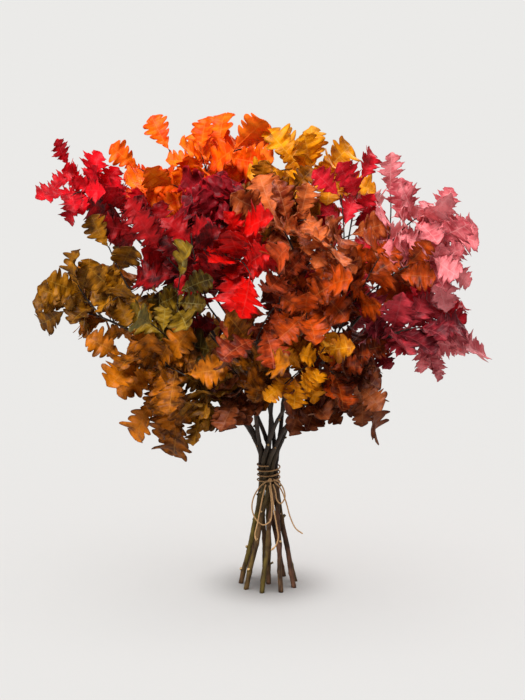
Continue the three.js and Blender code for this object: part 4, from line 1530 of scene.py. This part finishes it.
    def _twig_lines(self, sprays: list[GrownSpray]) -> tuple[list, list, list, list]:
        """Lays out the bare lines that the twigs are grown on.

        Args:
            sprays: The sprays whose twigs are wanted.

        Returns:
            The points, the edges, and the radius and bud size at each point.
        """
        points, edges, radii, buds = [], [], [], []
        for number, spray in enumerate(sprays):
            for twig in spray.twigs:
                line = [twig.root, (twig.root + twig.arch.start) * 0.5]
                if not np.allclose(twig.root, twig.arch.start):
                    line.append(twig.arch.start)
                widths = [twig.base_radius * 1.1] * len(line)
                for step in range(1, self.twig_steps + 1):
                    t = step / self.twig_steps
                    line.append(twig.arch.point(t))
                    node = 1.0 + self.twig_node_swell * math.cos(2.0 * math.pi * t * TWIG_STEPS) ** 8
                    widths.append(mix(twig.base_radius, TWIG_TIP_RADIUS, t) * node)
                first = len(points)
                points += line
                edges += [(first + i, first + i + 1) for i in range(len(line) - 1)]
                radii += widths
                sizes = [0.0] * len(line)
                sizes[-1] = self.end_bud
                for share in self.bud_places:
                    sizes[int(share * len(line))] = 0.8 + 0.4 * chance(number, share * 10)
                buds += sizes
        return points, edges, radii, buds

    def _tree(self) -> bpy.types.NodeTree:
        """Builds the tree that spins the twigs and sets buds on them."""
        sizes = {"Bud Length": "Float", "Bud Radius": "Float"}
        tree, entry = new_tree("dress_branch", {**sizes, "Bark": "Material"})
        radius = add_node(tree, "GeometryNodeInputNamedAttribute", {"Name": "twig_radius"}, data_type="FLOAT")
        bud = add_node(tree, "GeometryNodeInputNamedAttribute", {"Name": "bud_size"}, data_type="FLOAT")
        lines = add_node(tree, "GeometryNodeMeshToCurve", {"Mesh": entry["Geometry"]})
        ring = add_node(tree, "GeometryNodeCurvePrimitiveCircle", {"Resolution": 7, 4: 1.0})
        tubes = add_node(
            tree, "GeometryNodeCurveToMesh",
            {
                "Curve": lines.outputs[0], "Profile Curve": ring.outputs[0], "Scale": radius.outputs[0],
                "Fill Caps": True,
            },
        ).outputs[0]
        spots = add_node(
            tree, "GeometryNodeCurveToPoints", {"Curve": lines.outputs[0]}, mode="EVALUATED"
        )
        ball = add_node(tree, "GeometryNodeMeshUVSphere", {"Segments": 6, "Rings": 5, "Radius": 1.0})
        size = add_node(
            tree, "ShaderNodeCombineXYZ",
            {"X": entry["Bud Radius"], "Y": entry["Bud Radius"], "Z": entry["Bud Length"]},
        )
        size = add_node(
            tree, "ShaderNodeVectorMath", {0: size.outputs[0], "Scale": bud.outputs[0]}, operation="SCALE"
        )
        wanted = add_node(tree, "FunctionNodeCompare", {0: bud.outputs[0], 1: 0.01}, operation="GREATER_THAN")
        buds = add_node(
            tree, "GeometryNodeInstanceOnPoints",
            {
                "Points": spots.outputs["Points"], "Selection": wanted.outputs[0],
                "Instance": ball.outputs[0], "Rotation": spots.outputs["Rotation"], "Scale": size.outputs[0],
            },
        ).outputs[0]
        end_tree(tree, [tubes, buds], entry["Bark"])
        return tree

    def _with_twigs(self, wood: bpy.types.Object, sprays: list[GrownSpray]) -> bpy.types.Object:
        """Grows a stem's twigs and joins them to its mesh.

        Args:
            wood: The stem's object.
            sprays: The sprays that grow on it.

        Returns:
            The same object, with the twigs.
        """
        points, edges, radii, buds = self._twig_lines(sprays)
        layers = {
            "twig_radius": ("FLOAT", [radius * MM for radius in radii]),
            "bud_size": ("FLOAT", buds),
        }
        holder = wire_object("twig_lines", [(point * MM).tolist() for point in points], edges, layers)
        values = {"Bud Length": self.bud_length * MM, "Bud Radius": self.bud_radius * MM, "Bark": self.bark}
        twigs = grown_object(holder, self._tree(), values, "twigs")
        twigs.data.polygons.foreach_set("material_index", [0] * len(twigs.data.polygons))
        joined = bmesh.new()
        joined.from_mesh(wood.data)
        joined.from_mesh(twigs.data)
        joined.to_mesh(wood.data)
        joined.free()
        wood.data.polygons.foreach_set("use_smooth", [True] * len(wood.data.polygons))
        bpy.data.objects.remove(twigs)
        return wood

    def build(self) -> None:
        """Makes one piece for each branch."""
        for number, stem in enumerate(self.growth.stems.values()):
            sprays = [spray for spray in self.growth.sprays if spray.plan.stem == stem.name]
            piece = self._stem_mesh(stem, 31 + 7 * number, sprays)
            piece.name = f"branch_{stem.name}"
            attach(piece, "root")
            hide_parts(f"stem_{stem.name}")
            LOG.info("%s: %d faces", piece.name, len(piece.data.polygons))


# ---- leaves ------------------------------------------------------------------------------------------------
@dataclass
class Foliage:
    """The leaves: a small stock of curled shapes for each margin, set on every twig."""

    growth: Growth
    shapes_per_form: int = 9
    seed: int = 4207
    size_factor: float = 1.27
    filler_size: float = 0.88
    filler_tries: int = 7
    first_filler: float = 0.06
    filler_span: float = 0.8
    crumple_sway: float = 0.4
    tone: float = 0.54
    tone_sway: float = 0.4
    centre_shade: float = 0.5
    crowd: list[list[Vector]] = field(default_factory=list)

    # Leaves get painted shade below a height, fully so a little lower, and within a distance of the middle
    # (mm), where the crown above would shade them.
    SHADE_BELOW = 530.0
    SHADE_DEPTH = 80.0
    SHADE_WITHIN = 240.0
    OUTLINE = ((0.0, 0.12), (0.24, 0.4), (0.3, 0.72), (0.0, 1.0), (-0.3, 0.72), (-0.24, 0.4))

    def _outline(self, place: LeafPlace) -> list[Vector]:
        """Returns the corners of a leaf's plain outline."""
        return [Vector(place.corner(*corner)) for corner in self.OUTLINE]

    def _solid_of(self, outlines: list[list[Vector]]) -> BVHTree:
        """Returns a tree of leaf outlines for finding where leaves cross."""
        corners = [corner for outline in outlines for corner in outline]
        sides = len(self.OUTLINE)
        faces = [list(range(sides * number, sides * (number + 1))) for number in range(len(outlines))]
        return BVHTree.FromPolygons(corners, faces)

    def _fill(self, spray: GrownSpray, owner: int) -> None:
        """Adds smaller leaves between the spray's own, where they cross the fewest others.

        Args:
            spray: The spray.
            owner: Its place in the list of sprays, which the new leaves' seeds come from.
        """
        crowd = self._solid_of(self.crowd)
        for branch, twig in enumerate(spray.twigs):
            fillers = LEAF_FINISHES[spray.plan.tint].fillers
            for order in range(fillers):
                step = order + 0.5 * chance(owner, order + branch)
                t = self.first_filler + self.filler_span * step / fillers
                seed = 1000 + 31 * owner + 11 * branch + 3 * order
                size = spray.plan.size * self.filler_size
                places = [
                    place_leaf(twig.arch, size, seed, order + 1, attempt, t)
                    for attempt in range(self.filler_tries)
                ]
                crossings = [len(self._solid_of([self._outline(place)]).overlap(crowd)) for place in places]
                best = places[crossings.index(min(crossings))]
                twig.leaves.append(best)
                self.crowd.append(self._outline(best))

    def _stock(self) -> tuple[bpy.types.Collection, dict[Margin, list[int]]]:
        """Makes the stock of leaf shapes, ordered from the flattest to the most crumpled of each form."""
        random = np.random.default_rng(self.seed)
        stock = bpy.data.collections.new("leaf_shapes")
        numbers: dict[Margin, list[int]] = {}
        count = 0
        for margin, form in FORMS.items():
            numbers[margin] = []
            for place in range(self.shapes_per_form):
                strength = place / (self.shapes_per_form - 1)
                shape = LeafShape(f"leaf_{count:02d}", form, LeafCurl.drawn(random, strength), random)
                bpy.context.scene.collection.objects.unlink(shape.object)
                stock.objects.link(shape.object)
                numbers[margin].append(count)
                count += 1
        return stock, numbers

    def _tree(self) -> bpy.types.NodeTree:
        """Builds the tree that sets a leaf of the stock on every leaf place."""
        inputs = {"Leaf Shapes": "Collection", "Size Factor": "Float", "Finish": "Material"}
        tree, entry = new_tree("set_leaves", inputs)
        shapes = add_node(
            tree, "GeometryNodeCollectionInfo",
            {"Collection": entry["Leaf Shapes"], "Separate Children": True, "Reset Children": True},
        ).outputs[0]
        turn, size, shape = (
            add_node(tree, "GeometryNodeInputNamedAttribute", {"Name": name}, data_type=kind).outputs[0]
            for name, kind in (("leaf_turn", "QUATERNION"), ("leaf_size", "FLOAT"), ("leaf_shape", "INT"))
        )
        size = add_node(tree, "ShaderNodeMath", {0: size, 1: entry["Size Factor"]}, operation="MULTIPLY")
        leaves = add_node(
            tree, "GeometryNodeInstanceOnPoints",
            {
                "Points": entry["Geometry"], "Instance": shapes, "Pick Instance": True,
                "Instance Index": shape, "Rotation": turn, "Scale": size.outputs[0],
            },
        ).outputs[0]
        end_tree(tree, [leaves], entry["Finish"])
        return tree

    def _tone_and_shade(self, place: LeafPlace) -> float:
        """Returns how bright a leaf's colour is: a random tone, with painted shade darkening the leaves low in
        the middle of the bunch.
        """
        low = float(np.clip((self.SHADE_BELOW - place.base[2]) / self.SHADE_DEPTH, 0.0, 1.0))
        close = max(0.0, 1.0 - math.hypot(place.base[0], place.base[1]) / self.SHADE_WITHIN)
        # Painted shade: the subtraction darkens leaves low in the middle of the bunch, as if the crown above
        # shaded them.
        return self.tone + self.tone_sway * sway(place.seed, 43) - self.centre_shade * low * close

    def _places(self, spray: GrownSpray, numbers: list[int], crumple: float) -> bpy.types.Object:
        """Makes the spray's leaf places as loose points.

        Args:
            spray: The spray.
            numbers: The numbers of the leaf shapes it may have, from the flattest to the most crumpled.
            crumple: How crumpled its leaves are, from 0 to 1.

        Returns:
            An object whose points hold each leaf's turn, size, shape, and tone with painted shade.
        """
        places = [place for twig in spray.twigs for place in twig.leaves]
        turns, sizes, shapes, tones_and_shades = [], [], [], []
        for place in places:
            frame = Matrix([place.side, place.direction, place.normal]).transposed()
            turns += list(frame.to_quaternion())
            sizes.append(place.length * MM)
            wanted = crumple + self.crumple_sway * sway(place.seed, 41)
            shapes.append(numbers[int(np.clip(wanted, 0.0, 0.999) * len(numbers))])
            tones_and_shades.append(self._tone_and_shade(place))
        layers = {
            "leaf_turn": ("QUATERNION", turns), "leaf_size": ("FLOAT", sizes),
            "leaf_shape": ("INT", shapes), "leaf_tone": ("FLOAT", tones_and_shades),
        }
        return wire_object("leaf_places", [(place.base * MM).tolist() for place in places], [], layers)

    def build(self) -> None:
        """Makes one piece of leaves for each spray."""
        stock, numbers = self._stock()
        tree = self._tree()
        finishes = {tint: finish.material() for tint, finish in LEAF_FINISHES.items()}
        places = [place for spray in self.growth.sprays for twig in spray.twigs for place in twig.leaves]
        self.crowd = [self._outline(place) for place in places]
        for owner, spray in enumerate(self.growth.sprays):
            self._fill(spray, owner)
            finish = LEAF_FINISHES[spray.plan.tint]
            holder = self._places(spray, numbers[finish.margin], finish.crumple)
            values = {"Leaf Shapes": stock, "Size Factor": self.size_factor, "Finish": finishes[finish.name]}
            piece = grown_object(holder, tree, values, spray.node.replace("spray", "leaves"))
            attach(piece, "root")
            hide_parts(spray.node)
            LOG.info("%s: %d faces", piece.name, len(piece.data.polygons))
        for shape in list(stock.objects):
            bpy.data.objects.remove(shape)
        bpy.data.collections.remove(stock)


# ---- stage -------------------------------------------------------------------------------------------------
@dataclass(frozen=True)
class SoftLight:
    """A wide, distant studio light: where it stands, its strength and its spread in degrees."""

    name: str
    stands: Triple
    strength: float
    spread: float

    def build(self) -> bpy.types.Object:
        """Makes the light, turned towards the bunch."""
        light = bpy.data.lights.new(self.name, "SUN")
        light.energy = self.strength
        light.angle = math.radians(self.spread)
        thing = new_object(self.name, light)
        thing.rotation_euler = Vector(self.stands).to_track_quat("Z", "Y").to_euler()
        return thing

    def on_floor(self) -> float:
        """Returns how brightly the light falls on white level paint."""
        return self.strength * self.stands[2] / float(np.linalg.norm(self.stands)) / math.pi


@dataclass(frozen=True)
class Stage:
    """A pale seamless floor under soft studio light. Floor and sky meet in one tone at the horizon.

    The key and the back light fall on the bunch alone, and a third light on the floor alone, where only the
    branches, the twine and a small hidden flag over the feet cast a shadow. That keeps the shadow small and
    close to the feet.
    """

    tone: str = "#ebeae8"
    ambient: float = 0.18
    floor_half: float = 60.0
    flag_radius: float = 0.068
    flag_height: float = 0.13
    flag_sides: int = 24
    key: SoftLight = SoftLight("soft_key", (-0.5, -0.75, 1.15), 4.3, 26.0)
    back: SoftLight = SoftLight("soft_back", (0.7, 0.9, 0.9), 2.4, 45.0)
    overhead: SoftLight = SoftLight("floor_light", (0.0, 0.0, 1.0), 3.0, 58.0)

    def build(self) -> None:
        """Makes the floor, the sky and the lights."""
        sky = linear(self.tone)
        self._sky(sky)
        corners = np.array([(-1, -1, 0), (1, -1, 0), (1, 1, 0), (-1, 1, 0)]) * self.floor_half
        floor = mesh_object("studio_floor", corners, [[0, 1, 2, 3]], [self._floor_paint(sky)])
        shown = [thing for thing in bpy.data.objects if thing.type == "MESH" and not thing.hide_render]
        bunch = self._group("bunch", [thing for thing in shown if thing is not floor])
        casters = [thing for thing in shown if thing.name.startswith(("branch", "jute"))]
        casters = self._group("floor_shadow", [*casters, self._flag()])
        for light in (self.key.build(), self.back.build()):
            light.light_linking.receiver_collection = bunch
            light.light_linking.blocker_collection = bunch
        overhead = self.overhead.build()
        overhead.light_linking.receiver_collection = self._group("floor", [floor])
        overhead.light_linking.blocker_collection = casters

    def _flag(self) -> bpy.types.Object:
        """Makes the round flag that only the floor light sees."""
        turns = [2.0 * math.pi * side / self.flag_sides for side in range(self.flag_sides)]
        rim = [
            (self.flag_radius * math.cos(turn), self.flag_radius * math.sin(turn), self.flag_height)
            for turn in turns
        ]
        flag = mesh_object("light_flag", np.array(rim), [list(range(self.flag_sides))], [])
        for rays in ("camera", "diffuse", "glossy", "transmission"):
            setattr(flag, f"visible_{rays}", False)
        return flag

    def _sky(self, sky: tuple[float, float, float, float]) -> None:
        """Makes the sky: the backdrop's own tone to the eye, and a weaker fill light.

        Args:
            sky: The backdrop's tone, linear.
        """
        world = bpy.data.worlds.new("studio")
        world.use_nodes = True
        tree = world.node_tree
        backdrop = tree.nodes["Background"]
        backdrop.inputs["Color"].default_value = sky
        fill = add_node(tree, "ShaderNodeBackground", {"Color": (*[self.ambient] * 3, 1.0)})
        seen = add_node(tree, "ShaderNodeLightPath").outputs["Is Camera Ray"]
        both = add_node(
            tree, "ShaderNodeMixShader", {0: seen, 1: fill.outputs[0], 2: backdrop.outputs[0]}
        ).outputs[0]
        tree.links.new(both, tree.nodes["World Output"].inputs["Surface"])
        bpy.context.scene.world = world

    @staticmethod
    def _group(name: str, things: list[bpy.types.Object]) -> bpy.types.Collection:
        """Makes a collection for the lights to refer to."""
        group = bpy.data.collections.new(name)
        for thing in things:
            group.objects.link(thing)
        return group

    def _floor_paint(self, sky: tuple[float, float, float, float]) -> bpy.types.Material:
        """Builds matt studio paint whose lit tone equals the sky's."""
        lit = self.ambient + self.overhead.on_floor()
        material, _, shader = new_material("matt_studio_paint")
        shader.inputs["Base Color"].default_value = (*[tone / lit for tone in sky[:3]], 1.0)
        shader.inputs["Roughness"].default_value = 1.0
        shader.inputs["Specular IOR Level"].default_value = 0.0
        return material


@dataclass(frozen=True)
class Viewpoint:
    """The camera: how it looks at the bunch, in metres and degrees."""

    target: Triple = (-0.010, 0.0, 0.394)
    elevation: float = 13.0
    distance: float = 3.2
    frame_height: float = 1.12

    def build(self) -> None:
        """Places the camera and makes it the scene's own."""
        camera = bpy.data.cameras.new("camera")
        camera.sensor_fit = "VERTICAL"
        camera.angle = 2.0 * math.atan(0.5 * self.frame_height / self.distance)
        camera.clip_end = 200.0
        thing = new_object("camera", camera)
        lift = math.radians(self.elevation)
        away = Vector((0.0, -math.cos(lift), math.sin(lift)))
        thing.location = Vector(self.target) + away * self.distance
        thing.rotation_euler = away.to_track_quat("Z", "Y").to_euler()
        bpy.context.scene.camera = thing
        bpy.context.scene.view_settings.view_transform = "Standard"


def main() -> None:
    """Builds the camera, the twine, the branches, the leaves and the stage, and logs the twine's lengths, the
    leaf count and the faces of the branches and leaves.
    """
    logging.basicConfig(level=logging.INFO, format="%(name)s: %(message)s")
    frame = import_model()
    Viewpoint().build()
    Twine(JuteFinish().material()).build()
    growth = Growth(frame["nodes"])
    LOG.info("%d leaves on %d sprays", growth.leaf_count(), len(growth.sprays))
    Branches(growth, BarkFinish().material(), CutWoodFinish().material()).build()
    Foliage(growth).build()
    Stage().build()


if __name__ == "__main__":
    main()
